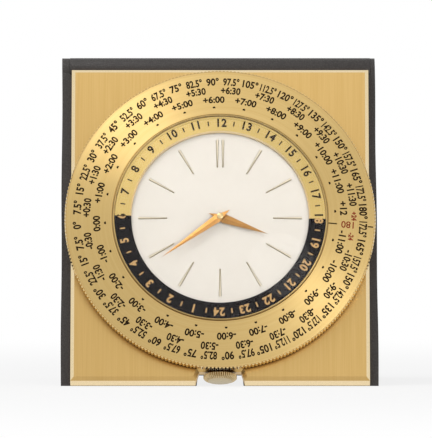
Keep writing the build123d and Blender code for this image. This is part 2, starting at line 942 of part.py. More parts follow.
with BuildPart() as hour_wheel:
    gear_blank(hour_gear, hour_wheel_back, motion_wheel_thickness, cannon_tube + running_gap)
    peg(0, 0, hour_tube, hour_wheel_back, hour_hand_back + hand_sheet)
    peg_holes([(0, 0)], cannon_tube + running_gap, hour_wheel_back, hour_hand_back + hand_sheet)
finish(hour_wheel, "hour_wheel")

with BuildPart() as hours_drive_wheel:
    gear_blank(drive_gear, drive_back, drive_thickness, hour_tube + push_gap)
    crossings(drive_gear, drive_back, drive_thickness)
finish(hours_drive_wheel, "hours_drive_wheel")

with BuildPart() as hours_idler:
    gear_blank(idler_gear, drive_back, drive_thickness, idler_post_radius + running_gap)
finish(hours_idler, "hours_idler")

# Main plate with its pillars and posts
bridge_front = bridge_thickness - bridge_back
pillar_places = [polar(pillar_circle, angle) for angle in pillar_angles]
with BuildPart() as main_plate:
    rod(0, 0, case_bore - main_plate_gap, movement_back, movement_seat)
    peg(minute_wheel_gear.x, minute_wheel_gear.v, post_radius, movement_seat, drive_back - running_gap)
    peg(idler_gear.x, idler_gear.v, idler_post_radius, movement_seat, drive_back + drive_thickness)
    for pillar in pillar_places:
        peg(*pillar, pillar_radius, bridge_front, movement_back)
    peg_holes([(0, 0), *train_pivots], arbor_radius + pivot_gap, movement_back, movement_seat)
    peg_holes(dial_feet, dial_foot_radius + pivot_gap, movement_back, movement_seat)
    peg_holes(pillar_places, bridge_screw_shank + pivot_gap, bridge_front, bridge_front + 2 * pillar_radius)
    peg_holes([barrel_place], barrel_arbor_radius + pivot_gap, movement_back, movement_seat)
    with BuildSketch(face.offset(movement_back)):
        with Locations((0, keyless_gap - clutch_start)):
            Rectangle(
                2 * (stem_pinion_radius + keyless_gap),
                clutch_length + stem_pinion_length + 2 * keyless_gap,
                align=(Align.CENTER, Align.MAX),
            )
    extrude(amount=main_plate_thickness, mode=Mode.SUBTRACT)
finish(main_plate, "main_plate")


def arbor(x, v):
    """Add an arbor that turns in the main plate and the bridge."""
    peg(x, v, arbor_radius, bridge_front - pivot_length, movement_back + pivot_length)


# Going train, from the barrel to the escape wheel
ratchet_back = -bridge_back - running_gap - ratchet_thickness
with BuildPart() as mainspring_barrel:
    barrel_bore = barrel_arbor_radius + running_gap
    gear_blank(barrel_gear, -barrel_front - barrel_tooth_face, barrel_tooth_face, barrel_bore)
    drum_radius = barrel_drum_share * barrel_gear.pitch_radius
    rod(barrel_gear.x, barrel_gear.v, drum_radius, -barrel_front - barrel_height, -barrel_front)
    peg_holes([barrel_place], barrel_bore, -barrel_front - barrel_height, -barrel_front)
finish(mainspring_barrel, "mainspring_barrel")

with BuildPart() as barrel_arbor:
    peg(*barrel_place, barrel_arbor_radius, ratchet_back, movement_seat - running_gap)
finish(barrel_arbor, "barrel_arbor")

with BuildPart() as centre_wheel:
    gear_blank(centre_gear, -centre_wheel_front - train_wheel_thickness, train_wheel_thickness)
    crossings(centre_gear, -centre_wheel_front - train_wheel_thickness, train_wheel_thickness)
    gear_blank(centre_pinion, -centre_pinion_front - centre_pinion_width, centre_pinion_width)
    peg(0, 0, arbor_radius, bridge_front - pivot_length, movement_seat)
    peg(0, 0, centre_arbor_radius, movement_seat, nut_back + hand_nut_height / 2)
finish(centre_wheel, "centre_wheel")

with BuildPart() as third_wheel:
    gear_blank(third_gear, -third_wheel_front - train_wheel_thickness, train_wheel_thickness)
    crossings(third_gear, -third_wheel_front - train_wheel_thickness, train_wheel_thickness)
    gear_blank(third_pinion, -third_pinion_front - train_pinion_width, train_pinion_width)
    arbor(third_gear.x, third_gear.v)
finish(third_wheel, "third_wheel")

with BuildPart() as fourth_wheel:
    gear_blank(fourth_gear, -fourth_wheel_front - train_wheel_thickness, train_wheel_thickness)
    crossings(fourth_gear, -fourth_wheel_front - train_wheel_thickness, train_wheel_thickness)
    gear_blank(fourth_pinion, -fourth_pinion_front - train_pinion_width, train_pinion_width)
    arbor(fourth_gear.x, fourth_gear.v)
finish(fourth_wheel, "fourth_wheel")

with BuildPart() as escape_wheel:
    escape_back = -escape_wheel_front - train_wheel_thickness
    escape_pitch = 360.0 / escape_teeth
    hooks = []
    for tooth in range(escape_teeth):
        first = escape_pitch * tooth
        hooks.append(polar(escape_radius - escape_tooth, first - escape_pitch * escape_lean_share))
        hooks.append(polar(escape_radius, first))
        hooks.append(polar(escape_radius, first + escape_pitch * escape_tip_share))
        hooks.append(polar(escape_radius - escape_tooth, first + escape_pitch * escape_tip_share))
    with BuildSketch(face.offset(escape_back)):
        with BuildLine():
            Polyline(*[(escape_pinion.x + x, escape_pinion.v + v) for x, v in hooks], close=True)
        make_face()
    extrude(amount=train_wheel_thickness)
    gear_blank(escape_pinion, -escape_pinion_front - train_pinion_width, train_pinion_width)
    arbor(escape_pinion.x, escape_pinion.v)
finish(escape_wheel, "escape_wheel")

# Lever with its fork, and the balance with its roller
lever_back = -lever_front - lever_thickness
lever_length = balance_distance - roller_radius - fork_gap
with BuildPart() as pallet_lever:
    with BuildSketch(face.offset(lever_back)):
        with Locations(Location((pallet_x, pallet_v), pallet_direction)):
            Rectangle(lever_length, lever_width, align=(Align.MIN, Align.CENTER))
            with Locations((lever_length - fork_width / 2, 0)):
                Rectangle(fork_width, fork_width)
            Rectangle(lever_arm_width, 2 * lever_arm_reach, align=(Align.CENTER, Align.CENTER))
            for arm in (-1, 1):
                with Locations((-pallet_reach / 2, arm * (lever_arm_reach - lever_arm_width / 2))):
                    Rectangle(pallet_reach, lever_arm_width)
            with Locations((lever_length, 0)):
                Rectangle(2 * fork_slot, fork_slot, mode=Mode.SUBTRACT)
    extrude(amount=lever_thickness)
    arbor(pallet_x, pallet_v)
finish(pallet_lever, "pallet_lever")

with BuildPart() as balance_wheel:
    balance_back = -balance_front - balance_thickness
    with BuildSketch(face.offset(balance_back)):
        with Locations(Location((balance_x, balance_v), pallet_direction)):
            Circle(balance_radius)
            Circle(balance_radius - balance_rim, mode=Mode.SUBTRACT)
            Rectangle(2 * balance_radius - balance_rim, spoke_width)
    extrude(amount=balance_thickness)
    peg(balance_x, balance_v, roller_radius, -roller_front - roller_thickness, -roller_front)
    pin_x, pin_v = polar(roller_radius - impulse_pin_radius, pallet_direction + 180.0)
    peg(balance_x + pin_x, balance_v + pin_v, impulse_pin_radius, -roller_front, -lever_front)
    arbor(balance_x, balance_v)
finish(balance_wheel, "balance_wheel")

# Bridge over the train, and the cock over the balance
cock_direction = degrees(atan2(balance_v, balance_x))
cock_foot = polar(pillar_circle, cock_direction)
cock_span = pillar_circle - sqrt(balance_x * balance_x + balance_v * balance_v)
with BuildPart() as train_bridge:
    with BuildSketch(face.offset(-bridge_back)):
        Circle(bridge_radius)
        with Locations(Location((balance_x, balance_v), cock_direction)):
            Circle(cock_width / 2 + bridge_clearance, mode=Mode.SUBTRACT)
            Rectangle(
                bridge_radius,
                cock_width + 2 * bridge_clearance,
                align=(Align.MIN, Align.CENTER),
                mode=Mode.SUBTRACT,
            )
    extrude(amount=bridge_thickness)
    peg_holes([(0, 0), *train_pivots], arbor_radius + pivot_gap, -bridge_back, bridge_front)
    peg_holes([barrel_place], barrel_arbor_radius + pivot_gap, -bridge_back, bridge_front)
    peg_holes(pillar_places, bridge_screw_shank + pivot_gap, -bridge_back, bridge_front)
finish(train_bridge, "train_bridge")

with BuildPart() as balance_cock:
    with BuildSketch(face.offset(-bridge_back)):
        with Locations(Location((balance_x, balance_v), cock_direction)):
            Circle(cock_width / 2)
            Rectangle(cock_span + pillar_radius, cock_width, align=(Align.MIN, Align.CENTER))
    extrude(amount=bridge_thickness)
    peg(*cock_foot, pillar_radius, bridge_front, movement_back)
    peg_holes([(balance_x, balance_v)], arbor_radius + pivot_gap, -bridge_back, bridge_front)
    peg_holes([cock_foot], bridge_screw_shank + pivot_gap, -bridge_back, movement_back)
finish(balance_cock, "balance_cock")

with BuildPart() as bridge_screws:
    for screw_x, screw_v in (*pillar_places, cock_foot):
        peg(screw_x, screw_v, bridge_screw_head, -bridge_back - bridge_screw_height, -bridge_back)
        peg(screw_x, screw_v, bridge_screw_shank, -bridge_back, bridge_front + pillar_radius)
finish(bridge_screws, "bridge_screws")

# Ratchet wheel on the barrel arbor, and the click that holds it
with BuildPart() as ratchet_wheel:
    ratchet_pitch = 360.0 / ratchet_teeth
    notches = []
    for tooth in range(ratchet_teeth):
        notches.append(polar(ratchet_radius, ratchet_pitch * tooth))
        notches.append(polar(ratchet_radius - ratchet_tooth, ratchet_pitch * tooth))
    with BuildSketch(face.offset(ratchet_back)):
        with BuildLine():
            Polyline(*[(barrel_gear.x + x, barrel_gear.v + v) for x, v in notches], close=True)
        make_face()
        with Locations((barrel_gear.x, barrel_gear.v)):
            RegularPolygon(barrel_arbor_radius + push_gap, peg_sides, major_radius=False, mode=Mode.SUBTRACT)
    extrude(amount=ratchet_thickness)
finish(ratchet_wheel, "ratchet_wheel")

with BuildPart() as click:
    with BuildSketch(face.offset(ratchet_back)):
        with Locations((barrel_gear.x, barrel_gear.v + ratchet_radius + click_width / 2 + running_gap)):
            SlotOverall(click_length, click_width)
    extrude(amount=ratchet_thickness)
finish(click, "click")

# Back cover, sprung into the case
with BuildPart() as back_cover:
    rod(0, 0, case_radius, -case_back - cover_thickness, -case_back)
    rod(0, 0, case_bore - running_gap, -case_back, cover_lip_depth - case_back)
    bores([(0, 0)], case_bore - cover_lip, -case_back, cover_lip_depth - case_back)
finish(back_cover, "back_cover")


# Stem tube, winding stem, clutch and crown
with BuildPart() as stem_tube:
    with BuildSketch(across_stem(case_bore)):
        RegularPolygon(stem_radius + running_gap + stem_tube_wall, peg_sides)
        RegularPolygon(stem_radius + running_gap, peg_sides, major_radius=False, mode=Mode.SUBTRACT)
    extrude(amount=stem_tube_length + case_radius - case_bore)
finish(stem_tube, "stem_tube")

with BuildPart() as winding_stem:
    with BuildSketch(across_stem(stem_inner_end)):
        RegularPolygon(stem_radius, peg_sides)
    extrude(amount=crown_top + crown_height / 2 - stem_inner_end)
finish(winding_stem, "winding_stem")

with BuildPart() as clutch_wheel:
    with BuildSketch(across_stem(clutch_start)):
        RegularPolygon(clutch_radius, peg_sides)
    extrude(amount=clutch_length)
    with BuildSketch(across_stem(clutch_start + clutch_length)):
        RegularPolygon(stem_pinion_radius, peg_sides)
    extrude(amount=stem_pinion_length)
    with BuildSketch(across_stem(clutch_start)):
        RegularPolygon(stem_radius + running_gap, peg_sides, major_radius=False)
    extrude(amount=clutch_length + stem_pinion_length, mode=Mode.SUBTRACT)
finish(clutch_wheel, "clutch_wheel")

knurls = []
for knurl in range(crown_knurls):
    knurls.append(polar(crown_radius, 360.0 / crown_knurls * knurl))
    knurls.append(polar(crown_radius - crown_knurl_depth, 360.0 / crown_knurls * (knurl + 0.5)))
with BuildPart() as crown:
    with BuildSketch(across_stem(crown_top + crown_round)):
        with BuildLine():
            Polyline(*knurls, close=True)
        make_face()
    extrude(amount=crown_height - 2 * crown_round)
    with BuildSketch(stem_plane):
        with BuildLine():
            Polyline(
                (0, -crown_top),
                (crown_radius - crown_shoulder, -crown_top),
                (crown_radius - crown_knurl_depth, -crown_top - crown_round),
                (crown_radius - crown_knurl_depth, -crown_top - crown_height + crown_round),
                (crown_radius - crown_round, -crown_top - crown_height),
                (0, -crown_top - crown_height),
                close=True,
            )
        make_face()
    revolve(axis=stem_axis)
    with BuildSketch(across_stem(crown_top)):
        RegularPolygon(stem_radius + push_gap, peg_sides, major_radius=False)
    extrude(amount=crown_height / 2, mode=Mode.SUBTRACT)
finish(crown, "crown")
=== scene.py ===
"""World time clock on a folding leather stand: its looks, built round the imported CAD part.

Lengths are in millimetres on the dial's face, where x runs to the right, y up the front plate and z out of the
dial from the middle of it. Each mesh is turned to the part's frame, in metres, before its piece is made.
"""

import json
import logging
import math
from dataclasses import dataclass
from enum import Enum
from typing import Callable, Sequence

import bmesh
import bpy
from mathutils import Matrix, Vector


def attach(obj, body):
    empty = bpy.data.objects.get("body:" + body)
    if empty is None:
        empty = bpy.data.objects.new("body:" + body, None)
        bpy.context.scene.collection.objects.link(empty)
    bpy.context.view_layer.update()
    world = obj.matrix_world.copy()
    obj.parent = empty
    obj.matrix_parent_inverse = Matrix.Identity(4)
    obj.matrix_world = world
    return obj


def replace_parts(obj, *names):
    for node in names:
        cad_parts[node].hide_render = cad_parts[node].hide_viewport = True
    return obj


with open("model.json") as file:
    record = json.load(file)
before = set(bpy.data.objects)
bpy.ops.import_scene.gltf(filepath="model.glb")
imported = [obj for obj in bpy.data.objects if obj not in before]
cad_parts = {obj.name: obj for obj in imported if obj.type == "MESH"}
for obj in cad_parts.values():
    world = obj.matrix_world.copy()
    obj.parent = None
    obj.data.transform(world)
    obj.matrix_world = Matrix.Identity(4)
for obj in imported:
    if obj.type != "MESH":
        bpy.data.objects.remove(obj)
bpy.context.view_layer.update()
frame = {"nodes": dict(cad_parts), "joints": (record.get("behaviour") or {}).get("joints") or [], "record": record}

LOG = logging.getLogger("world_time_clock")
MM = 0.001
FULL_TURN = 2.0 * math.pi
WHITE = (1.0, 1.0, 1.0, 1.0)
MERGE_DISTANCE = 2e-6  # metres: corners of a CAD mesh closer than this are one
PRINT_RISE = 0.02  # how far a printed dot or line stands out
SLACK = 0.1  # room allowed where corners and faces are found by their place
Point = tuple[float, float]
Corner = tuple[float, float, float]


def linear(colour: str) -> tuple[float, float, float, float]:
    """Turn an sRGB hex colour to linear light.

    Args:
        colour: Six hex digits with a leading hash sign.

    Returns:
        Linear red, green and blue with an alpha of one.
    """
    values = [int(colour[i : i + 2], 16) / 255.0 for i in (1, 3, 5)]
    red, green, blue = (v / 12.92 if v <= 0.04045 else ((v + 0.055) / 1.055) ** 2.4 for v in values)
    return red, green, blue, 1.0


def linked(name: str, data: bpy.types.ID) -> bpy.types.Object:
    """A new object with some data, linked to the scene."""
    made = bpy.data.objects.new(name, data)
    bpy.context.scene.collection.objects.link(made)
    return made


def meshed(shape: bmesh.types.BMesh, name: str) -> bpy.types.Mesh:
    """Write a shape to a new mesh, and free the shape."""
    mesh = bpy.data.meshes.new(name)
    shape.to_mesh(mesh)
    shape.free()
    return mesh


def evaluated(holder: bpy.types.Object) -> bpy.types.Mesh:
    """The mesh that an object's font or modifiers make of it; the object goes."""
    holder.update_tag()
    graph = bpy.context.evaluated_depsgraph_get()
    mesh = bpy.data.meshes.new_from_object(holder.evaluated_get(graph))
    holder.modifiers.clear()
    bpy.data.objects.remove(holder)
    return mesh


def add_node(tree: bpy.types.NodeTree, kind: str, settings: dict | None = None, **links: object) -> bpy.types.Node:
    """Add a node with its settings, and link its inputs.

    Args:
        tree: Node tree that gets the node.
        kind: Node type.
        settings: Attributes of the node, and input values by socket name or number.
        links: Sources by input name, with underscores for spaces, or by number after in_.

    Returns:
        The new node.
    """
    node = tree.nodes.new(kind)
    for key, value in (settings or {}).items():
        if isinstance(key, int) or key in node.inputs:
            node.inputs[key].default_value = value
        else:
            setattr(node, key, value)
    for key, source in links.items():
        name = int(key[3:]) if key.startswith("in_") else key.replace("_", " ")
        socket = source.outputs[0] if isinstance(source, bpy.types.Node) else source
        tree.links.new(socket, node.inputs[name])
    return node


def mixed(tree: bpy.types.NodeTree, share: object, first: object, second: object) -> bpy.types.Node:
    """Mix two shaders: the second takes the share."""
    return add_node(tree, "ShaderNodeMixShader", {}, Fac=share, in_1=first, in_2=second)


def larger(tree: bpy.types.NodeTree, first: object, second: object) -> bpy.types.Node:
    """The larger of two values."""
    return add_node(tree, "ShaderNodeMath", {"operation": "MAXIMUM"}, in_0=first, in_1=second)


@dataclass(frozen=True)
class Face:
    """A working plane on the clock, with x to the right, y up it and z out of it."""

    origin: Vector  # its origin in the part's frame, in metres
    up: Vector  # unit vector of y
    out: Vector  # unit vector of z

    @property
    def matrix(self) -> Matrix:
        """Matrix from millimetres on the face to metres in the part's frame."""
        turn = Matrix((Vector((1.0, 0.0, 0.0)), self.up, self.out)).transposed()
        return Matrix.Translation(self.origin) @ turn.to_4x4() @ Matrix.Scale(MM, 4)

    @property
    def inverse(self) -> Matrix:
        """Matrix from metres in the part's frame to metres on the face."""
        turn = Matrix((Vector((1.0, 0.0, 0.0)), self.up, self.out)).to_4x4()
        return turn @ Matrix.Translation(-self.origin)

    def local(self, place: Vector) -> Vector:
        """A place in the part's frame, in millimetres on the face."""
        return (self.inverse @ place) / MM


def face_of_dial() -> Face:
    """The dial's face, from the joint that the ring of places turns on."""
    turning = next(j for j in frame["joints"] if j["name"] == "places_turn")
    out = -Vector(turning["axis"]).normalized()
    return Face(Vector(turning["pos_m"]), out.cross(Vector((1.0, 0.0, 0.0))), out)


DIAL = face_of_dial()


class Nodes:
    """A new material's nodes, with the recipes that several finishes share."""

    def __init__(self, name: str) -> None:
        """Start a material.

        Args:
            name: What it is called.
        """
        self.material = bpy.data.materials.new(name)
        self.material.use_nodes = True
        self.tree = self.material.node_tree
        self.shader = self.tree.nodes["Principled BSDF"]

    def add(self, kind: str, settings: dict | None = None, **links: object) -> bpy.types.Node:
        """Add a shader node, its kind without the common start of the name."""
        return add_node(self.tree, "ShaderNode" + kind, settings, **links)

    def vector(self, operation: str, settings: dict | None = None, **links: object) -> bpy.types.Node:
        """Add a vector operation."""
        return self.add("VectorMath", {"operation": operation} | (settings or {}), **links)

    def place(self) -> bpy.types.NodeSocket:
        """The place on the object, which keeps every pattern on it as it moves."""
        return self.add("TexCoord").outputs["Object"]

    def noise(self, scale: float, detail: float, at: object, roughness: float = 0.5) -> bpy.types.NodeSocket:
        """A cloudy pattern from nought to one.

        Args:
            scale: Clouds to the metre.
            detail: Steps of finer clouds in it.
            at: The place to read it at.
            roughness: Weight of the finer clouds.

        Returns:
            Its value.
        """
        settings = {"Scale": scale, "Detail": detail, "Roughness": roughness}
        return self.add("TexNoise", settings, Vector=at).outputs["Fac"]

    def tint(self, colour: str, second: str, share: object) -> None:
        """Colour the surface between two sRGB hex colours."""
        settings = {"data_type": "RGBA", 6: linear(colour), 7: linear(second)}
        mix = self.add("Mix", settings, Factor=share)
        self.tree.links.new(mix.outputs[2], self.shader.inputs["Base Color"])

    def roughen(self, low: float, high: float, share: object) -> None:
        """Let the roughness vary between two values."""
        rough = self.add("MapRange", {"To Min": low, "To Max": high}, Value=share)
        self.tree.links.new(rough.outputs["Result"], self.shader.inputs["Roughness"])

    def bump(self, strength: float, depth: float, height: object) -> None:
        """Raise a pattern by a depth in millimetres."""
        made = self.add("Bump", {"Strength": strength, "Distance": depth * MM}, Height=height)
        self.tree.links.new(made.outputs["Normal"], self.shader.inputs["Normal"])

    def fix(self, **values: object) -> None:
        """Set constants by input name, with underscores for spaces."""
        for name, value in values.items():
            self.shader.inputs[name.replace("_", " ")].default_value = value

    def show(self, share: object, other: bpy.types.Node) -> None:
        """Mix a share of another shader into what the material shows."""
        surface = mixed(self.tree, share, self.shader, other)
        self.tree.links.new(surface.outputs[0], self.tree.nodes["Material Output"].inputs["Surface"])


class Grain(Enum):
    """How a surface was worked."""

    STRAIGHT = "straight"
    ROUND = "round"
    CAST = "cast"


@dataclass(frozen=True)
class Metal:
    """A metal finish."""

    name: str
    colour: str  # main colour, as sRGB hex
    second: str  # colour that the grain varies to
    roughness: float  # roughness across the grain
    grain: Grain = Grain.CAST  # how it was worked
    line: float = 0.3  # width of one brush line, in millimetres
    stretch: float = 40.0  # how many times longer a line is than wide
    depth: float = 0.004  # height of the lines, in millimetres
    anisotropy: float = 0.0  # how far highlights spread across the lines
    metallic: float = 1.0  # share of the metal's own shine, under one for a dull oxide film

    def pattern(self, nodes: Nodes) -> tuple[bpy.types.Node, bpy.types.Node | None]:
        """Add the nodes that follow the grain.

        Args:
            nodes: The material's nodes.

        Returns:
            The place to read the pattern at, and the direction across the lines, if any.
        """
        turned = DIAL.inverse
        settings = {"Location": turned.to_translation(), "Rotation": turned.to_euler()}
        local = nodes.add("Mapping", settings, Vector=nodes.place())
        fine = 1.0 / (self.line * MM)
        coarse = fine / self.stretch
        if self.grain is Grain.CAST:
            return nodes.add("Mapping", {"Scale": (fine,) * 3}, Vector=local), None
        if self.grain is Grain.STRAIGHT:
            normal = nodes.add("NewGeometry").outputs["Normal"]
            place = nodes.add("Mapping", {"Scale": (fine, coarse, coarse)}, Vector=local)
            return place, nodes.vector("CROSS_PRODUCT", {0: DIAL.up}, in_1=normal)
        flat = nodes.vector("MULTIPLY", {1: (1.0, 1.0, 0.0)}, in_0=local)
        radius = nodes.vector("LENGTH", in_0=flat).outputs["Value"]
        outward = nodes.vector("NORMALIZE", in_0=flat)
        unit_radius = 0.02  # metres: how wide a circle the lines' lengths are measured on
        swing = nodes.vector("SCALE", {"Scale": coarse * unit_radius}, in_0=outward)
        lines = nodes.add("Math", {"operation": "MULTIPLY", 1: fine}, in_0=radius)
        place = nodes.vector("ADD", in_0=swing, in_1=nodes.add("CombineXYZ", {}, Z=lines))
        back = turned.inverted().to_euler()
        return place, nodes.add("Mapping", {"vector_type": "VECTOR", "Rotation": back}, Vector=outward)

    def material(self) -> bpy.types.Material:
        """Build the material."""
        nodes = Nodes(self.name)
        place, across = self.pattern(nodes)
        streaks = nodes.noise(1.0, 2.0, place, 0.6)
        nodes.tint(self.colour, self.second, streaks)
        nodes.roughen(self.roughness * 0.85, self.roughness * 1.2, streaks)
        nodes.bump(0.3, self.depth, streaks)
        nodes.fix(Metallic=self.metallic, Anisotropic=self.anisotropy, Coat_Weight=0.0, Coat_Roughness=0.12)
        if across is not None:
            nodes.tree.links.new(across.outputs["Vector"], nodes.shader.inputs["Tangent"])
        return nodes.material


@dataclass(frozen=True)
class Lacquer:
    """A printed, lacquered or moulded surface."""

    name: str
    colour: str  # main colour, as sRGB hex
    second: str  # colour that it clouds to
    roughness: float  # how matt it is
    cloud: float = 6.0  # size of its clouding, in millimetres
    grit: float = 0.25  # size of the fine texture, in millimetres
    depth: float = 0.002  # height of the fine texture, in millimetres
    shine: float = 0.4  # specular level

    def material(self) -> bpy.types.Material:
        """Build the material."""
        nodes = Nodes(self.name)
        place = nodes.place()
        nodes.tint(self.colour, self.second, nodes.noise(1.0 / (self.cloud * MM), 2.0, place))
        nodes.bump(0.25, self.depth, nodes.noise(1.0 / (self.grit * MM), 1.0, place))
        nodes.fix(Roughness=self.roughness, Specular_IOR_Level=self.shine)
        return nodes.material


@dataclass(frozen=True)
class Leather:
    """Smooth dyed calf leather."""

    name: str
    colour: str  # colour of the raised grain, as sRGB hex
    crease: str  # colour in the creases
    pebble: float = 0.55  # size of one grain pebble, in millimetres
    patch: float = 9.0  # size of the patches that are more worn, in millimetres
    worn: float = 0.35  # share of the colour that follows the patches; the rest follows the pebbles
    depth: float = 0.06  # height of the pebbles, in millimetres

    def material(self) -> bpy.types.Material:
        """Build the material."""
        nodes = Nodes(self.name)
        place = nodes.place()
        size, wander = self.pebble * MM, 0.4
        drift = nodes.add("TexNoise", {"Scale": wander / size, "Detail": 1.0}, Vector=place).outputs["Color"]
        shifted = nodes.vector("MULTIPLY_ADD", {1: (wander * size,) * 3}, in_0=drift, in_2=place)
        settings = {"feature": "DISTANCE_TO_EDGE", "Scale": 1.0 / size}
        cells = nodes.add("TexVoronoi", settings, Vector=shifted)
        settings = {"From Max": 0.28, "interpolation_type": "SMOOTHSTEP"}
        pebbles = nodes.add("MapRange", settings, Value=cells)
        patches = nodes.noise(1.0 / (self.patch * MM), 3.0, place)
        worn = nodes.add("Math", {"operation": "MULTIPLY", 1: self.worn}, in_0=patches)
        settings = {"operation": "MULTIPLY_ADD", 1: 1.0 - self.worn}
        share = nodes.add("Math", settings, in_0=pebbles, in_2=worn)
        nodes.tint(self.crease, self.colour, share)
        nodes.roughen(0.62, 0.42, share)
        nodes.bump(0.5, self.depth, pebbles)
        nodes.fix(Specular_IOR_Level=0.5, Sheen_Weight=0.08, Sheen_Roughness=0.4)
        return nodes.material


@dataclass(frozen=True)
class Crystal:
    """Clear moulded acrylic, with faint polishing marks."""

    name: str
    tint: str = "#FFFFFF"  # colour of what it lets through, as sRGB hex
    ior: float = 1.2  # index of refraction, set low because an antireflection coat takes most of the gloss away

    def material(self) -> bpy.types.Material:
        """Build the material, which lets the lamps' light through to the dial."""
        nodes = Nodes(self.name)
        nodes.fix(Base_Color=linear(self.tint), Transmission_Weight=1.0, IOR=self.ior)
        nodes.roughen(0.0, 0.03, nodes.noise(1.0 / (5.0 * MM), 2.0, nodes.place()))
        nodes.show(nodes.add("LightPath").outputs["Is Shadow Ray"], nodes.add("BsdfTransparent"))
        return nodes.material


Finish = Metal | Lacquer | Leather | Crystal

# Brass sheet, brushed up and down: a soft gold with fine upright streaks
PLATE_BRASS = Metal("brushed_brass_plate", "#D6B476", "#C7A260", 0.34, Grain.STRAIGHT, 0.42, 60.0, 0.006, 0.65)
# Turned brass, brushed round on the lathe: light gathers in two opposite fans
RING_BRASS = Metal("turned_brass_ring", "#D8BC80", "#C9A868", 0.34, Grain.ROUND, 0.35, 90.0, 0.004, 0.74)
# Brass with a satin skin on the day half of the 24-hour ring: a quieter, even gold
DAY_BRASS = Metal("satin_brass_day", "#CAB072", "#BBA05E", 0.40, Grain.ROUND, 0.4, 60.0, 0.003, 0.35)
# Black lacquer over brass on the night half: dark, with a soft shine
NIGHT_LACQUER = Lacquer("black_ring_lacquer", "#120E10", "#0E0B0C", 0.5, shine=0.06)
# Brass bright from the knurling wheel: pale lines on the crown
CROWN_BRASS = Metal("knurled_brass", "#DCC79C", "#B79C6C", 0.3, line=0.8)
# Painted shade between the knurls: dark brass for the lines beside them
CROWN_GROOVE_SHADE = Metal("painted_shade_brass_grooves", "#5C4224", "#45301A", 0.45, line=0.4, metallic=0.8)
# The crown's turned end: a dull pale disc
CROWN_END = Metal("turned_brass_crown_end", "#CDBE9C", "#B5A37C", 0.3, line=0.6)
# Copper gilt, faceted and polished: warm orange gold with dark and light sides
HAND_GILT = Metal("copper_gilt_hands", "#BC8C52", "#A87840", 0.32, line=2.0)
# Pale gilt, satin on top of the batons and dull down their sides, which are painted darker as painted shade, so that
# each reads as two fine lines
BATON_GILT = Metal("pale_gilt_batons", "#DDD3BE", "#CFC3AA", 0.30, line=1.5)
BATON_SIDE_SHADE = Metal("dull_gilt_sides_painted_shade", "#9C9073", "#8C8064", 0.45, line=1.5, metallic=0.7)
# Brass cut bright with a diamond, painted pale cream as a painted highlight where it meets the light
HIGHLIGHT_BEVEL_BRASS = Metal("bright_cut_brass_painted_highlight", "#FBE6BE", "#F1DAAA", 0.22, line=0.6)
# Pale gilt of the nut that holds the hands: one bright dot
NUT_GILT = Metal("pale_gilt_nut", "#E6CB98", "#D4B47A", 0.25, line=0.5)
# Reeds rolled bright on the rim, painted a paler brass as a painted glint: a row of small glints
REED_GLINT_BRASS = Metal("rolled_brass_reeds_painted_glint", "#EBD29A", "#D3B274", 0.24, line=0.5)
# Matt silver-white lacquer: an even, faintly warm white
DIAL_WHITE = Lacquer("matt_white_dial_lacquer", "#D3CDC3", "#CEC7BC", 0.55, 14.0, 0.2, 0.001, 0.2)
# Black filled engraving: matt and a little brown at its edges
PRINT_BLACK = Lacquer("black_fill", "#2A1B08", "#201405", 0.6, 2.0, shine=0.1)
# Red filled engraving: a brick red, as matt as the black
PRINT_RED = Lacquer("red_fill", "#9A3A1E", "#8A3018", 0.6, 2.0, shine=0.2)
# Gilt print on the black half: soft gold figures
PRINT_GILT = Metal("gilt_print", "#B79868", "#B98D50", 0.4, line=1.0, metallic=0.6)
# Calf leather, dyed nearly black and pressed smooth: fine pebbles and a soft sheen
CALF = Leather("dark_calf_leather", "#37322F", "#241F1D")
# Brown rubber, moulded: a dull thin line round the crystal
GASKET = Lacquer("brown_rubber_gasket", "#7A6030", "#6A5228", 0.6, 3.0)
# Steel, ground and polished: a cool grey shine
STEEL = Metal("polished_steel", "#C9CACC", "#B4B6B9", 0.25, line=1.2)
# Wheel brass, fine satin: a clear yellow beside the nickel
WHEEL_BRASS = Metal("wheel_brass", "#D9BC78", "#C9A860", 0.3, line=0.8)
# Nickel plating over brass, turned: a pale warm grey with round lines
NICKEL = Metal("nickel_plate", "#CFCBC2", "#BDB8AE", 0.32, Grain.ROUND, 0.4, 40.0, 0.003, 0.3)
# Acrylic: nothing but a faint gloss over the dial
ACRYLIC = Crystal("clear_acrylic")

FINISH_OF_SLOT: dict[str, Finish] = {
    "brushed_brass": PLATE_BRASS,
    "turned_brass": RING_BRASS,
    "crown_brass": CROWN_BRASS,
    "ring_brass": DAY_BRASS,
    "leather": CALF,
    "dial_enamel": DIAL_WHITE,
    "marker_metal": BATON_GILT,
    "hand_gilt": HAND_GILT,
    "crystal_glass": ACRYLIC,
    "steel": STEEL,
    "wheel_brass": WHEEL_BRASS,
    "plate_nickel": NICKEL,
}
_made: dict[str, bpy.types.Material] = {}


def dressed(finish: Finish) -> bpy.types.Material:
    """The material of a finish, made once."""
    if finish.name not in _made:
        _made[finish.name] = finish.material()
    return _made[finish.name]


def give(mesh: bpy.types.Mesh, *finishes: Finish) -> bpy.types.Mesh:
    """Add finishes to a mesh, in the order of its material numbers."""
    for finish in finishes:
        mesh.materials.append(dressed(finish))
    return mesh


def smooth(mesh: bpy.types.Mesh, sharp_angle: float = 32.0) -> None:
    """Shade a mesh smooth, with sharp edges where faces meet at more than an angle in degrees."""
    shape = bmesh.new()
    shape.from_mesh(mesh)
    for side in shape.faces:
        side.smooth = True
    for edge in shape.edges:
        edge.smooth = not (edge.is_manifold and edge.calc_face_angle(0.0) > math.radians(sharp_angle))
    shape.to_mesh(mesh)
    shape.free()


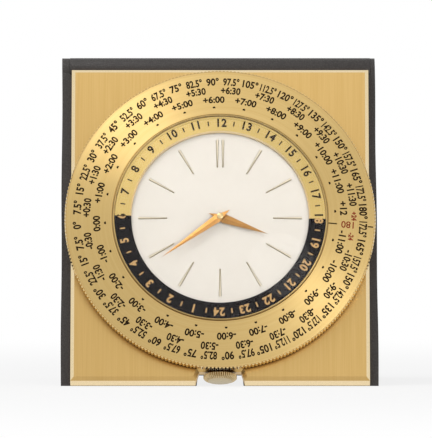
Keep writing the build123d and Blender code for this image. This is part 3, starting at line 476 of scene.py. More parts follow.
def piece(name: str, mesh: bpy.types.Mesh, finish: Finish | None, body: str, slot: str) -> bpy.types.Object:
    """Make a piece from a mesh that is in place, dress it and let it ride on its body.

    Args:
        name: Name of the piece.
        mesh: Its mesh, in the part's frame.
        finish: Finish, or None where the mesh has its materials.
        body: CAD body that it rides on.
        slot: Material slot of the record; not used.

    Returns:
        The piece.
    """
    mesh.name = name
    made = linked(name, mesh)
    if finish is not None:
        mesh.materials.clear()
        give(mesh, finish)
    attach(made, body)
    LOG.info("%s: %d faces on %s", name, len(mesh.polygons), body)
    return made


def polar(radius: float, clock_angle: float) -> Point:
    """A point at a radius and an angle in degrees clockwise from 12."""
    angle = math.radians(90.0 - clock_angle)
    return radius * math.cos(angle), radius * math.sin(angle)


def put(mesh: bpy.types.Mesh) -> bpy.types.Mesh:
    """Move a mesh from millimetres on the dial's face to its place in the part's frame."""
    mesh.transform(DIAL.matrix)
    mesh.update()
    return mesh


def lathe(profile: Sequence[Point], segments: int, closed: bool = True) -> bpy.types.Mesh:
    """Turn a half profile about the dial's axis.

    Args:
        profile: Points of radius and height, in order round the section.
        segments: Number of steps round the axis.
        closed: Whether the profile closes on itself, as a ring's does.

    Returns:
        The mesh, in millimetres on the dial's face.
    """
    shape = bmesh.new()
    angles = [FULL_TURN * i / segments for i in range(segments)]
    rings: list[list[bmesh.types.BMVert]] = []
    for radius, height in profile:
        if radius == 0.0:
            rings.append([shape.verts.new((0.0, 0.0, height))] * segments)
        else:
            rings.append([shape.verts.new((radius * math.cos(a), radius * math.sin(a), height)) for a in angles])
    for first, second in zip(rings, rings[1:] + rings[:1] if closed else rings[1:]):
        if first[0] is first[1] and second[0] is second[1]:
            continue
        for i in range(segments):
            j = (i + 1) % segments
            shape.faces.new(list(dict.fromkeys((first[i], first[j], second[j], second[i]))))
    bmesh.ops.recalc_face_normals(shape, faces=shape.faces)
    mesh = meshed(shape, "turned")
    smooth(mesh)
    return mesh


def loft(rows: Sequence[Sequence[Corner]]) -> bpy.types.Mesh:
    """A solid through rows of corners, with a flat face at each end.

    Args:
        rows: Rows with the same number of corners, each in order round the solid.

    Returns:
        The mesh, in millimetres on the face.
    """
    shape = bmesh.new()
    rings = [[shape.verts.new(corner) for corner in row] for row in rows]
    for near, far in zip(rings, rings[1:]):
        for i in range(len(near)):
            j = (i + 1) % len(near)
            shape.faces.new((near[i], near[j], far[j], far[i]))
    shape.faces.new(rings[0])
    shape.faces.new(rings[-1])
    bmesh.ops.recalc_face_normals(shape, faces=shape.faces)
    return meshed(shape, "lofted")


def merged_copy(node: str) -> bmesh.types.BMesh:
    """A copy of a CAD node's mesh, with its double corners merged."""
    shape = bmesh.new()
    shape.from_mesh(frame["nodes"][node].data)
    bmesh.ops.remove_doubles(shape, verts=shape.verts, dist=MERGE_DISTANCE)
    return shape


def sliced(shape: bmesh.types.BMesh, place: Vector, normal: Vector, **clear: bool) -> list[bmesh.types.BMEdge]:
    """Cut a shape by a plane, clear a side of it where told to, and give back the edges of the cut."""
    geometry = shape.verts[:] + shape.edges[:] + shape.faces[:]
    made = bmesh.ops.bisect_plane(shape, geom=geometry, plane_co=place, plane_no=normal, **clear)
    return [edge for edge in made["geom_cut"] if isinstance(edge, bmesh.types.BMEdge)]


def prism(outline: Sequence[Point], low: float, high: float) -> bpy.types.Mesh:
    """A straight-sided solid on an outline, between two heights."""
    return loft([[(x, y, height) for x, y in outline] for height in (low, high)])


def join(meshes: Sequence[bpy.types.Mesh]) -> bpy.types.Mesh:
    """Put several meshes into one, which keeps their material numbers."""
    shape = bmesh.new()
    for mesh in meshes:
        shape.from_mesh(mesh)
    return meshed(shape, "joined")


class TurnedCopies:
    """A Geometry Nodes tree that turns copies of a shape about the face's axis."""

    def __init__(self) -> None:
        """Build the tree with its named inputs."""
        tree = self.tree = bpy.data.node_groups.new("turned_copies", "GeometryNodeTree")
        kinds = {"Geometry": "Geometry", "Count": "Int", "Step": "Float", "Start": "Float"}
        for name, kind in (kinds | {"Finish": "Material", "Dress": "Bool"}).items():
            tree.interface.new_socket(name, in_out="INPUT", socket_type="NodeSocket" + kind)
        tree.interface.new_socket("Geometry", in_out="OUTPUT", socket_type="NodeSocketGeometry")
        given = add_node(tree, "NodeGroupInput").outputs
        points = add_node(tree, "GeometryNodeMeshLine", {"Offset": (0.0, 0.0, 0.0)}, Count=given["Count"])
        number = add_node(tree, "GeometryNodeInputIndex")
        settings = {"operation": "MULTIPLY_ADD"}
        angle = add_node(tree, "ShaderNodeMath", settings, in_0=number, in_1=given["Step"], in_2=given["Start"])
        euler = add_node(tree, "ShaderNodeCombineXYZ", {}, Z=angle)
        turn = add_node(tree, "FunctionNodeEulerToRotation", {}, Euler=euler)
        copies = add_node(
            tree, "GeometryNodeInstanceOnPoints", {}, Points=points, Instance=given["Geometry"], Rotation=turn
        )
        real = add_node(tree, "GeometryNodeRealizeInstances", {}, Geometry=copies)
        finished = add_node(
            tree, "GeometryNodeSetMaterial", {}, Geometry=real, Selection=given["Dress"], Material=given["Finish"]
        )
        add_node(tree, "NodeGroupOutput", {}, in_0=finished)

    def socket(self, name: str) -> str:
        """Identifier of the input of that name."""
        return next(s.identifier for s in self.tree.interface.items_tree if s.name == name and s.in_out == "INPUT")

    def make(
        self, unit: bpy.types.Mesh, count: int, step: float, start: float, finish: Finish | None
    ) -> bpy.types.Mesh:
        """Turn copies of a unit shape about the axis.

        Args:
            unit: The shape at 12 o'clock, in millimetres on the face.
            count: Number of copies.
            step: Degrees clockwise from one to the next.
            start: Degrees clockwise from 12 of the first.
            finish: Finish of every copy, or None where the unit has its materials.

        Returns:
            The mesh of all copies, in millimetres on the face.
        """
        holder = linked("holder", unit)
        modifier = holder.modifiers.new("copies", "NODES")
        modifier.node_group = self.tree
        modifier[self.socket("Count")] = count
        modifier[self.socket("Step")] = -math.radians(step)
        modifier[self.socket("Start")] = -math.radians(start)
        modifier[self.socket("Dress")] = finish is not None
        if finish is not None:
            modifier[self.socket("Finish")] = dressed(finish)
        mesh = evaluated(holder)
        if finish is not None:
            mesh.materials.clear()  # realized copies start with an empty slot
            give(mesh, finish)
        return mesh


COPIES = TurnedCopies()


@dataclass
class Figures:
    """Print that runs round the dial with its tops outward."""

    height: float  # height of a figure, in millimetres
    radius: float  # radius of its foot
    surface: Callable[[float], float]  # height of the surface at a radius
    narrow: float = 0.9  # width of the figures as a share of the font's
    bold: float = 0.0  # stroke growth as a share of the height
    arc: float = 0.0  # longest length that a text may take, in millimetres, or 0 for any
    spacing: float = 1.0
    font_height: float = 0.7  # height of a figure as a share of the font's size
    thickness: float = 0.006  # half of the print's thickness
    lift: float = 0.004  # how far the middle of the print stands off the surface

    def word(self, text: str) -> bpy.types.Mesh:
        """The flat mesh of a text, centred on its foot."""
        curve = bpy.data.curves.new("print", "FONT")
        curve.body = text
        curve.align_x = "CENTER"
        curve.size = self.height / self.font_height
        curve.offset = self.bold * self.height
        curve.resolution_u = 3
        curve.extrude = self.thickness
        curve.space_character = self.spacing
        return evaluated(linked("print", curve))

    def bent(self, text: str, clock_angle: float) -> bpy.types.Mesh:
        """A text bent round the dial at an angle.

        Args:
            text: What it says.
            clock_angle: Degrees clockwise from 12 of its middle.

        Returns:
            Its mesh, in millimetres on the face.
        """
        mesh = self.word(text)
        narrow = self.narrow
        if self.arc:
            across = [v.co.x for v in mesh.vertices]
            narrow = min(self.narrow, self.arc / (max(across) - min(across)))
        for vertex in mesh.vertices:
            x, y, z = vertex.co
            radius = self.radius + y
            angle = clock_angle + math.degrees(x * narrow / self.radius)
            vertex.co = (*polar(radius, angle), self.surface(radius) + self.lift + z)
        return mesh

    def row(self, texts: Sequence[tuple[str, float]]) -> bpy.types.Mesh:
        """Several texts, each with its clock angle, as one mesh."""
        return join([self.bent(text, angle) for text, angle in texts])


def wedge(half: float, crest: float, root: float, tip: float, low: float, high: float) -> list[Corner]:
    """A row of corners across a rib at 12 o'clock.

    Args:
        half: Half of its width at its root.
        crest: Half of its width at its crest.
        root: Radius of its root.
        tip: Radius of its crest.
        low: Height of the root's corners.
        high: Height of the crest's corners.

    Returns:
        Four corners, from the root on the left over the crest.
    """
    return [(-half, root, low), (-crest, tip, high), (crest, tip, high), (half, root, low)]


@dataclass
class PlacesRing:
    """The reeded outer ring, with its zones in three rows of figures."""

    bore: float = 30.36  # radius of its bore
    wall: float = 43.45  # radius of its rim under the reeds
    tip: float = 43.8  # radius over the reeds
    back: float = 1.0  # level of its back
    edge: float = 3.4  # level where its sloping face meets the rim
    top: float = 5.0  # level where the face meets the bore
    flat: float = 43.2  # radius where the face ends
    bevel: float = 0.12  # size of its small bevels
    reeds: int = 264  # number of reeds, and of steps round the ring
    reed_slope: float = 0.3  # length of a reed's sloping end
    zones: int = 24
    first_zone: float = -3.0  # clock angle of one zone, in degrees
    prime_steps: int = 18  # steps from the first zone to the prime meridian's
    half_day_shift: float = 1.5  # degrees that the label of 12 hours stands back, clear of the date line
    dot_radius: float = 32.3  # radius of the row of dots
    dot_size: float = 0.4  # radius of one dot
    longest_label: float = 4.45  # room for a label in the outer row
    date_angle: float = 93.4  # clock angle of the date line, in degrees
    mark: float = 0.17  # half of the width of the date line's marks

    def surface(self, radius: float) -> float:
        """Height of the ring's sloping face at a radius."""
        slope = (self.top - self.edge) / (self.flat - self.bore)
        return self.top - (radius - self.bore) * slope

    def body_mesh(self) -> bpy.types.Mesh:
        """The ring itself, with small bevels on its rims."""
        inner, outer = self.bore + self.bevel, self.flat - self.bevel
        profile = [(self.bore, self.back), (self.wall, self.back), (self.wall, self.edge - self.bevel)]
        profile += [(self.wall - self.bevel, self.edge), (self.flat, self.edge), (outer, self.surface(outer))]
        profile += [(inner, self.surface(inner)), (self.bore, self.top - self.bevel)]
        return lathe(profile, self.reeds)

    def reed_unit(self) -> bpy.types.Mesh:
        """One reed at 12 o'clock: a small rib with sloped ends."""
        pitch = FULL_TURN * self.wall / self.reeds
        rib = (pitch * 0.46, pitch * 0.14, self.wall - 0.03, self.tip - 0.01)
        ends = (self.back, self.back + self.reed_slope), (self.edge, self.edge - self.reed_slope)
        return loft([wedge(*rib, low, high) for low, high in ends])

    def zone_angles(self) -> list[tuple[int, float]]:
        """Each zone's hours from the first meridian, with its clock angle."""
        half_day, step = self.zones // 2, 360.0 / self.zones
        return [
            ((k - self.prime_steps + half_day) % self.zones - half_day, self.first_zone + step * k)
            for k in range(self.zones)
        ]

    def build(self) -> None:
        """Build and dress the ring and its print."""
        on_ring = ("places", "turned_brass")
        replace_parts(piece("places_ring_body", put(self.body_mesh()), RING_BRASS, *on_ring), "places_ring")
        # each reed takes the paler brass of a painted glint
        reeds = COPIES.make(self.reed_unit(), self.reeds, 360.0 / self.reeds, 0.0, REED_GLINT_BRASS)
        piece("places_ring_reeds", put(reeds), None, *on_ring)
        meridians, half_hours, hours_row = [], [], []
        half_zone = 180.0 / self.zones
        for hours, angle in self.zone_angles():
            meridians.append((f"{abs(hours) * 15}°", angle))
            meridians.append((f"{abs((hours + 0.5) * 15):g}°", angle + half_zone))
            if abs(hours) == self.zones // 2:
                hours_row.append((f"+{abs(hours)}", angle - self.half_day_shift))
                continue
            hours_row.append((f"{hours:+d}:00" if hours else "0:00", angle))
            half_hours.append((f"+{hours}:30" if hours >= 0 else f"-{-hours - 1}:30", angle + half_zone))
        for name, texts, figures in (
            ("meridian", meridians, Figures(2.1, 39.25, self.surface, 0.84, 0.048, self.longest_label)),
            ("half_hour", half_hours, Figures(1.98, 36.65, self.surface, 0.84, 0.05)),
            ("hour", hours_row, Figures(1.9, 33.85, self.surface, 0.96, 0.048)),
        ):
            piece(f"zone_{name}_figures", put(figures.row(texts)), PRINT_BLACK, *on_ring)
        turns = [FULL_TURN * i / 12 for i in range(12)]
        dot = [(self.dot_size * math.cos(a), self.dot_radius + self.dot_size * math.sin(a)) for a in turns]
        height = self.surface(self.dot_radius)
        unit = prism(dot, height, height + PRINT_RISE)
        dots = COPIES.make(unit, self.zones, 360.0 / self.zones, self.first_zone, PRINT_BLACK)
        piece("zone_dots", put(dots), None, *on_ring)
        self.build_date_line(on_ring)

    def radial_figures(self) -> bpy.types.Mesh:
        """The date line's meridian, which reads from the rim inward."""
        figures = Figures(1.95, self.bore, self.surface, bold=0.02)
        middle_radius, half_height, narrow = 36.1, 0.95, 0.98
        mesh = figures.word("180")
        turn = Matrix.Rotation(math.radians(90.0 - self.date_angle), 2)
        for vertex in mesh.vertices:
            x, y, z = vertex.co
            radius = middle_radius - x * narrow
            across, upward = turn @ Vector((radius, half_height - y))
            vertex.co = (across, upward, self.surface(radius) + figures.lift + z)
        return mesh

    def build_date_line(self, on_ring: tuple[str, str]) -> None:
        """The line where the date changes, with its red figures.

        Args:
            on_ring: Body and material slot of the ring.
        """
        red = [
            Figures(1.35, radius, self.surface, 0.86, 0.06).bent(text, angle)
            for text, radius, angle in (("+24", 37.0, 89.3), ("-24", 36.5, 98.6))
        ]
        piece("date_line_figures", put(join([*red, self.radial_figures()])), PRINT_RED, *on_ring)
        lines = []
        for start, end in ((30.5, 32.9), (41.6, 43.1)):
            ends = [(start, self.surface(start)), (end, self.surface(end))]
            sides = ((-self.mark, 0.0), (self.mark, 0.0), (self.mark, PRINT_RISE), (-self.mark, PRINT_RISE))
            lines.append(loft([[(x, radius, level + rise) for x, rise in sides] for radius, level in ends]))
            lines[-1].transform(Matrix.Rotation(-math.radians(self.date_angle), 4, "Z"))
        piece("date_line_marks", put(join(lines)), PRINT_BLACK, *on_ring)


@dataclass
class DayRing:
    """The ring of 24 hours, black through the night."""

    inner: float = 24.95  # radius of its bore
    outer: float = 29.7  # radius of its rim
    back: float = 1.9  # level of its back
    front: float = 4.7  # level of its face
    bevel: float = 0.4  # size of the bevel down to the dial
    figure_height: float = 2.25  # height of its figures
    figure_radius: float = 26.65  # radius of their feet
    tick: float = 0.18  # half of a tick's width
    tick_ends: Point = (26.9, 28.3)  # radii between which a tick runs
    noon_angle: float = 0.6  # clock angle of 12 on the ring, in degrees
    segments: int = 360

    def body_mesh(self) -> bpy.types.Mesh:
        """The ring, its faces numbered for brass, lacquer and the bevel with its painted highlight."""
        corner = 0.08
        profile = [(self.inner, self.back), (self.outer, self.back), (self.outer, self.front - corner)]
        profile += [(self.outer - corner, self.front), (self.inner + self.bevel, self.front)]
        profile += [(self.inner, self.front - self.bevel)]
        mesh = give(lathe(profile, self.segments), DAY_BRASS, NIGHT_LACQUER, HIGHLIGHT_BEVEL_BRASS)
        turn = math.radians(self.noon_angle)
        for polygon in mesh.polygons:
            x, y, z = polygon.center
            below = y * math.cos(turn) + x * math.sin(turn) < 0.0
            # the bevel round the bore takes the pale cream of a painted highlight
            rim = not below and math.hypot(x, y) < self.inner + self.bevel and z > self.front - self.bevel
            polygon.material_index = int(below and z > self.back + SLACK) or 2 * int(rim)
        return mesh

    def build(self) -> None:
        """Build and dress the ring, its figures and its ticks."""
        on_ring = ("day_ring", "ring_brass")
        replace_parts(piece("day_ring_body", put(self.body_mesh()), None, *on_ring), "hours_ring")
        day, night, split = [], [], []
        for hour in range(1, 25):
            texts = split if hour in (6, 18) else day if 6 < hour < 18 else night
            texts.append((str(hour), self.noon_angle + 15.0 * (hour - 12)))
        figures = Figures(self.figure_height, self.figure_radius, lambda _: self.front, bold=0.05, spacing=1.12)
        piece("day_figures", put(figures.row(day)), PRINT_BLACK, *on_ring)
        piece("night_figures", put(figures.row(night)), PRINT_GILT, *on_ring)
        for name, finish, night_side in (
            ("split_figures_day", PRINT_BLACK, False),
            ("split_figures_night", PRINT_GILT, True),
        ):
            piece(name, put(self.cut(figures.row(split), night_side)), finish, *on_ring)
        start, end = self.tick_ends
        outline = ((-self.tick, start), (self.tick, start), (self.tick, end), (-self.tick, end))
        for name, first, finish in (("day_ticks", -82.5, PRINT_BLACK), ("night_ticks", 97.5, PRINT_GILT)):
            tick = prism(outline, self.front, self.front + 0.015)
            piece(name, put(COPIES.make(tick, 12, 15.0, self.noon_angle + first, finish)), None, *on_ring)

    def cut(self, mesh: bpy.types.Mesh, night_side: bool) -> bpy.types.Mesh:
        """The part of a mesh on one side of the line between day and night.

        Args:
            mesh: Figures that lie across the line.
            night_side: Whether the part below the line is kept.

        Returns:
            That part, closed along the line.
        """
        turn = math.radians(self.noon_angle)
        shape = bmesh.new()
        shape.from_mesh(mesh)
        bmesh.ops.remove_doubles(shape, verts=shape.verts, dist=1e-5)
        normal = Vector((math.sin(turn), math.cos(turn), 0.0))
        edges = sliced(shape, Vector(), normal, clear_inner=not night_side, clear_outer=night_side)
        bmesh.ops.holes_fill(shape, edges=edges)
        return meshed(shape, "cut")


@dataclass
class DialWork:
    """The batons on the dial, the crystal over it and the line of rubber round it."""

    baton_inner: float = 14.9  # radius of a baton's inner end
    baton_outer: float = 22.9  # radius of its outer end
    baton_width: float = 0.78  # its width at the outer end
    baton_tip: float = 0.4  # its width at the inner end
    baton_height: float = 0.25  # its height over the dial
    baton_slope: float = 0.17  # width of its sloping sides
    level: float = 3.7  # level of the dial
    pair: float = 0.8  # how far the two batons at 12 stand from the middle
    crystal_radius: float = 29.88  # outer radius of the crystal
    crystal_seat: float = 5.0  # level of its foot
    crystal_edge: float = 0.5  # height of its upright edge
    crystal_dome: float = 2.28  # rise of its dome
    crystal_wall: float = 0.9  # its thickness
    crystal_steps: int = 14  # rings in the dome
    crystal_segments: int = 160
    gasket_segments: int = 180
    # Section of the rubber that shows, as radii and levels
    gasket: tuple[Point, ...] = ((30.1, 5.4), (30.22, 5.4), (30.22, 5.48), (30.1, 5.48))

    def baton(self, offset: float = 0.0) -> bpy.types.Mesh:
        """One baton at 12 o'clock: a tapered bar with sloped sides, its top set outward.

        Args:
            offset: How far it stands to the right.

        Returns:
            The mesh, with its flat faces and its sides numbered apart.
        """
        rows = []
        for inset, rise in ((0.0, 0.0), (self.baton_slope, self.baton_height)):
            inner, outer = self.baton_inner + inset, self.baton_outer + inset
            tip, half, level = self.baton_tip / 2 - inset, self.baton_width / 2 - inset, self.level + rise
            corners = ((-tip, inner), (tip, inner), (half, outer), (-half, outer))
            rows.append([(x + offset, y, level) for x, y in corners])
        mesh = give(loft(rows), BATON_GILT, BATON_SIDE_SHADE)
        for polygon in mesh.polygons:
            # the sloping sides take the darker gilt of painted shade
            polygon.material_index = int(abs(polygon.normal.z) < 0.9)
        return mesh

    def crystal(self) -> bpy.types.Mesh:
        """The domed crystal, hollow behind, with an upright edge that seats it."""
        outer = self.crystal_radius
        inner = outer - self.crystal_wall
        sphere = (outer**2 + self.crystal_dome**2) / (2 * self.crystal_dome)
        middle = self.crystal_seat + self.crystal_edge + self.crystal_dome - sphere
        shares = [i / self.crystal_steps for i in range(self.crystal_steps + 1)]
        hollow = sphere - self.crystal_wall
        profile = [(inner * s, middle + math.sqrt(hollow**2 - (inner * s) ** 2)) for s in shares]
        profile += [(inner, self.crystal_seat), (outer, self.crystal_seat)]
        profile += [(outer * s, middle + math.sqrt(sphere**2 - (outer * s) ** 2)) for s in reversed(shares)]
        return lathe(profile, self.crystal_segments, closed=False)

    def build(self) -> None:
        """Build and dress the batons, the crystal and its gasket."""
        bars = [COPIES.make(self.baton(), 11, 30.0, 30.0, None), self.baton(-self.pair), self.baton(self.pair)]
        batons = give(join(bars), BATON_GILT, BATON_SIDE_SHADE)
        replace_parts(piece("dial_batons", put(batons), None, "stand", "marker_metal"), "hour_markers")
        dome = put(self.crystal())
        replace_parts(piece("crystal_dome", dome, ACRYLIC, "stand", "crystal_glass"), "crystal")
        gasket = put(lathe(self.gasket, self.gasket_segments))
        piece("crystal_gasket", gasket, GASKET, "stand", "turned_brass")


@dataclass
class Case:
    """The turned movement case with its cover."""

    # Section of the cup in radii and levels: flange, collar, crystal seat, shelf and wall
    cup: tuple[Point, ...] = (
        (40.0, 0.0), (40.0, 0.6), (30.3, 0.6), (30.3, 5.4), (29.95, 5.4), (29.95, 5.0), (29.75, 5.0),
        (29.75, 1.85), (28.6, 1.85), (28.6, 0.3), (30.1, 0.3), (30.1, -10.0), (30.9, -10.0), (30.9, 0.0),
    )
    # Section of the cover, from the middle of its back, with a fine groove and a lip
    cover: tuple[Point, ...] = (
        (0.0, -10.8), (12.0, -10.8), (12.15, -10.72), (12.6, -10.72), (12.75, -10.8), (30.75, -10.8), (30.9, -10.65),
        (30.9, -10.0), (30.04, -10.0), (30.04, -9.2), (29.3, -9.2), (29.3, -10.0), (0.0, -10.0),
    )
    segments: int = 200

    def build(self) -> None:
        """Build and dress the case and the back cover."""
        on_stand = (RING_BRASS, "stand", "turned_brass")
        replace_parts(piece("case_cup", put(lathe(self.cup, self.segments)), *on_stand), "movement_case")
        cover = lathe(self.cover, self.segments, closed=False)
        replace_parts(piece("case_cover", put(cover), *on_stand), "back_cover")


@dataclass
class Crown:
    """The knurled crown under the case, with its knurls carried over its rounded end."""

    radius: float = 4.7  # radius over the knurls
    depth: float = 0.24  # depth of the knurls
    top: float = 44.1  # distance of its upper end from the dial's middle
    height: float = 1.9  # its length down the stem
    level: float = -2.2  # level of the stem's axis
    edge: float = 0.32  # length of its upper bevel
    shoulder: float = 0.6  # share of its length where its end begins to round
    waist: float = 0.82  # share of its length half way round the end
    knurls: int = 46
    segments: int = 96

    def knurl(self, core: float) -> bpy.types.Mesh:
        """One knurl at 12 o'clock, with the crown's axis upright.

        Args:
            core: Radius under the knurls.

        Returns:
            Its mesh.
        """
        pitch = FULL_TURN * core / self.knurls
        tip, start = self.radius - 0.01, self.edge * 0.9
        rows = []
        for root, crest, along in (
            (core - 0.02, core, start),
            (core - 0.02, tip, start + 0.16),
            (core - 0.02, tip, self.height * self.shoulder),
            (core - 0.44, core - 0.2, self.height * self.waist),
            (core - 1.12, core - 1.0, self.height - 0.04),
        ):
            taper = pitch * root / core
            rows.append(wedge(taper * 0.4, taper * 0.16, root, crest, along, along))
        return loft(rows)

    def build(self) -> None:
        """Build and dress the crown."""
        core = self.radius - self.depth
        profile = [(0.0, 0.0), (core - 0.9, 0.0), (core - 0.25, self.edge * 0.7), (core, self.edge)]
        profile += [(core, self.height * self.shoulder), (core - 0.42, self.height * self.waist)]
        profile += [(core - 1.1, self.height - 0.05), (core - 1.3, self.height), (0.0, self.height)]
        body = lathe(profile, self.segments, closed=False)
        # the crown's core between the knurls takes the dark brass of painted shade, its flat end the end's brass
        for polygon in body.polygons:
            polygon.material_index = 2 if polygon.normal.z > 0.97 else 1
        ribs = COPIES.make(self.knurl(core), self.knurls, 360.0 / self.knurls, 0.0, CROWN_BRASS)
        crown = give(join([body, ribs]), CROWN_BRASS, CROWN_GROOVE_SHADE, CROWN_END)
        stem_down = Matrix.Rotation(math.radians(90.0), 4, "X")
        crown.transform(Matrix.Translation((0.0, -self.top, self.level)) @ stem_down)
        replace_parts(piece("crown_knurled", put(crown), None, "crown", "crown_brass"), "crown")


@dataclass
class FrontPlate:
    """The brushed front plate, with a painted highlight on the bevels of its top and sides and on its underside."""

    half_width: float = 42.0
    top: float = 45.3  # height of its upper edge
    foot: float = -46.2  # height of its lower edge in the solid
    lip: float = -46.88  # height to which the lower edge is drawn down behind the bevel
    bevel: float = 1.0  # size of its bevels

    def build(self) -> None:
        """Build the plate from a copy of its CAD mesh, and paint a highlight on its top and side bevels and its
        underside.
        """
        shape = merged_copy("front_plate")
        for vertex in shape.verts:
            x, y, z = DIAL.local(vertex.co)
            if y < self.foot + SLACK and z < -self.bevel - SLACK:
                vertex.co = DIAL.matrix @ Vector((x, self.lip, z))
        mesh = give(meshed(shape, "plate"), PLATE_BRASS, HIGHLIGHT_BEVEL_BRASS)
        turn = DIAL.inverse.to_3x3()
        for polygon in mesh.polygons:
            normal, place = turn @ polygon.normal, DIAL.local(polygon.center)
            # The top and side bevels and the plate's underside take the pale cream of a painted highlight; the bottom
            # bevel keeps the plate's brass.
            at_edge = abs(place.x) > self.half_width - self.bevel or place.y > self.top - self.bevel
            painted_highlight = at_edge and 0.3 < normal.z < 0.95 and normal.y > -0.3
            under = place.y < self.foot and normal.y < -0.9
            polygon.material_index = int(under or painted_highlight)
        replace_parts(piece("brushed_plate", mesh, None, "stand", "brushed_brass"), "front_plate")


@dataclass
class Stand:
    """The leather board and flap, with softly turned edges, and the rod that joins them."""

    turn_radius: float = 0.9  # radius of the ears' rims, twice that of the other turned edges
    half: float = 44.3  # half of the board's width
    hinge: Point = (47.0, -7.1)  # where the hinge's axis stands on the dial's face
    ear_inner: float = 42.8  # inner face of the ears that hold the rod
    ear_covered: float = 42.66  # the same with its leather, close to the roll
    ear_radius: float = 3.3  # radius of the ears in the solid
    wrapped_radius: float = 3.62  # radius of the ears with their leather
    rod_radius: float = 0.8
    rod_half: float = 43.2  # half of its length, short of the leather that covers its ends
    rod_end: float = 0.25  # size of the bevel on its ends
    rod_segments: int = 40
    bands: int = 26  # number of bands that the leather's wavy sides are cut into
    wave: float = 0.08  # height of the waves
    # How far the left and the right side stand out at the top, how much more at the foot, and where their waves run
    sides: tuple[tuple[float, ...], ...] = ((0.48, -0.06, 7.0, 0.0), (-0.42, 0.62, 6.0, 1.0))

    def side_wave(self, side: float, height: float) -> float:
        """How far the leather stands out beyond the board's side.

        Args:
            side: Minus one on the left, one on the right.
            height: Height on the dial's face.

        Returns:
            The distance, in millimetres.
        """
        down = (self.hinge[0] - height) / (2.0 * self.hinge[0])
        out, growth, length, start = self.sides[int(side > 0.0)]
        return out + growth * down + self.wave * math.sin(height / length + start)

    def fit(self, shape: bmesh.types.BMesh) -> None:
        """Round the ears up to the roll, and let the long sides wander a little."""
        for band in range(1, self.bands):
            height = -self.hinge[0] + 2.0 * self.hinge[0] * band / self.bands
            sliced(shape, DIAL.matrix @ Vector((0.0, height, 0.0)), DIAL.up)
        for vertex in shape.verts:
            x, y, z = DIAL.local(vertex.co)
            arm = Vector((y - self.hinge[0], z - self.hinge[1]))
            if abs(x) > self.ear_inner - SLACK and abs(arm.length - self.ear_radius) < 0.12:
                arm *= self.wrapped_radius / arm.length
                y, z = self.hinge[0] + arm.x, self.hinge[1] + arm.y
            side = math.copysign(1.0, x)
            if abs(x) > self.half - SLACK:
                x += side * self.side_wave(side, y)
            elif abs(abs(x) - self.ear_inner) < 0.05:
                x = side * self.ear_covered
            vertex.co = DIAL.matrix @ Vector((x, y, z))

    def edge_share(self, edge: bmesh.types.BMEdge) -> float:
        """How far an edge is rounded, as a share of the turn radius."""
        if all(abs(abs(v.co.x) / MM - self.ear_inner) < 0.25 for v in edge.verts):
            return 0.06
        for vertex in edge.verts:
            x, y, z = DIAL.local(vertex.co)
            if abs(x) < self.ear_inner + 0.5 or math.dist((y, z), self.hinge) > self.wrapped_radius + SLACK:
                return 0.5
        return 1.0

    def cover(self, node: str, name: str, body: str) -> None:
        """Build a leather-covered copy of a stiff board, with rounded edges.

        Args:
            node: CAD node that it stands for.
            name: Name of the piece.
            body: CAD body that it rides on.
        """
        shape = merged_copy(node)
        bmesh.ops.dissolve_limit(
            shape, angle_limit=math.radians(0.5), verts=shape.verts, edges=shape.edges, use_dissolve_boundaries=False
        )
        if body == "stand":
            self.fit(shape)
        weights = shape.edges.layers.float.new("bevel_weight_edge")
        for edge in shape.edges:
            if edge.is_manifold and edge.calc_face_angle(0.0) >= math.radians(40.0):
                edge[weights] = self.edge_share(edge)
        holder = linked("holder", meshed(shape, name))
        bevel = holder.modifiers.new("turned edge", "BEVEL")
        bevel.width = self.turn_radius * MM
        bevel.segments = 4
        bevel.limit_method = "WEIGHT"
        bevel.use_clamp_overlap = True
        rounded = evaluated(holder)
        smooth(rounded, 40.0)
        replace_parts(piece(name, rounded, CALF, body, "leather"), node)

    def rod(self) -> None:
        """Build the steel rod of the hinge, with bevelled ends."""
        length, thin = self.rod_half, self.rod_radius - self.rod_end
        profile = [(0.0, -length), (thin, -length), (self.rod_radius, self.rod_end - length)]
        profile += [(self.rod_radius, length - self.rod_end), (thin, length), (0.0, length)]
        mesh = lathe(profile, self.rod_segments, closed=False)
        mesh.transform(Matrix.Translation((0.0, *self.hinge)) @ Matrix.Rotation(math.radians(90.0), 4, "Y"))
        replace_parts(piece("hinge_rod", put(mesh), STEEL, "stand", "steel"), "hinge_pin")

    def build(self) -> None:
        """Build and dress the board, the flap and the rod."""
        self.cover("front_board", "leather_board", "stand")
        self.cover("easel_flap", "leather_flap", "flap")
        self.rod()


@dataclass
class HandNut:
    """The domed nut that holds the hands."""

    radius: float = 0.95
    level: float = 5.58  # level of its foot
    height: float = 0.55
    wall: float = 0.2  # height of its upright side, under the dome
    steps: int = 8  # rings in the dome
    segments: int = 48

    def build(self) -> None:
        """Build and dress the nut."""
        rise, shoulder = self.height - self.wall, self.level + self.wall
        angles = [math.radians(90.0 * i / self.steps) for i in range(self.steps)]
        dome = [(self.radius * math.cos(a), shoulder + rise * math.sin(a)) for a in angles]
        profile = [(0.0, self.level), (self.radius, self.level), *dome, (0.0, self.level + self.height)]
        nut = put(lathe(profile, self.segments, closed=False))
        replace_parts(piece("hand_nut_dome", nut, NUT_GILT, "minutes", "hand_gilt"), "hand_nut")


def dress_cad() -> None:
    """Give every CAD node that still shows the finish of its material slot."""
    for row in frame["record"]["subparts"]:
        node = frame["nodes"][row["node"]]
        node.data.materials.clear()
        give(node.data, FINISH_OF_SLOT[row["material_slot"]])
        LOG.info("%s: %s", row["node"], row["material_slot"])


@dataclass(frozen=True)
class Lamp:
    """A round soft lamp that looks at the dial."""

    name: str
    place: Corner  # where it stands, in metres
    size: float  # its diameter, in metres
    power: float  # its power, in watts

    def build(self) -> None:
        """Hang the lamp."""
        data = bpy.data.lights.new(self.name, "AREA")
        data.shape = "DISK"
        data.size = self.size
        data.energy = self.power
        lamp = linked(self.name, data)
        lamp.location = self.place
        lamp.rotation_euler = (DIAL.origin - Vector(self.place)).to_track_quat("-Z", "Y").to_euler()


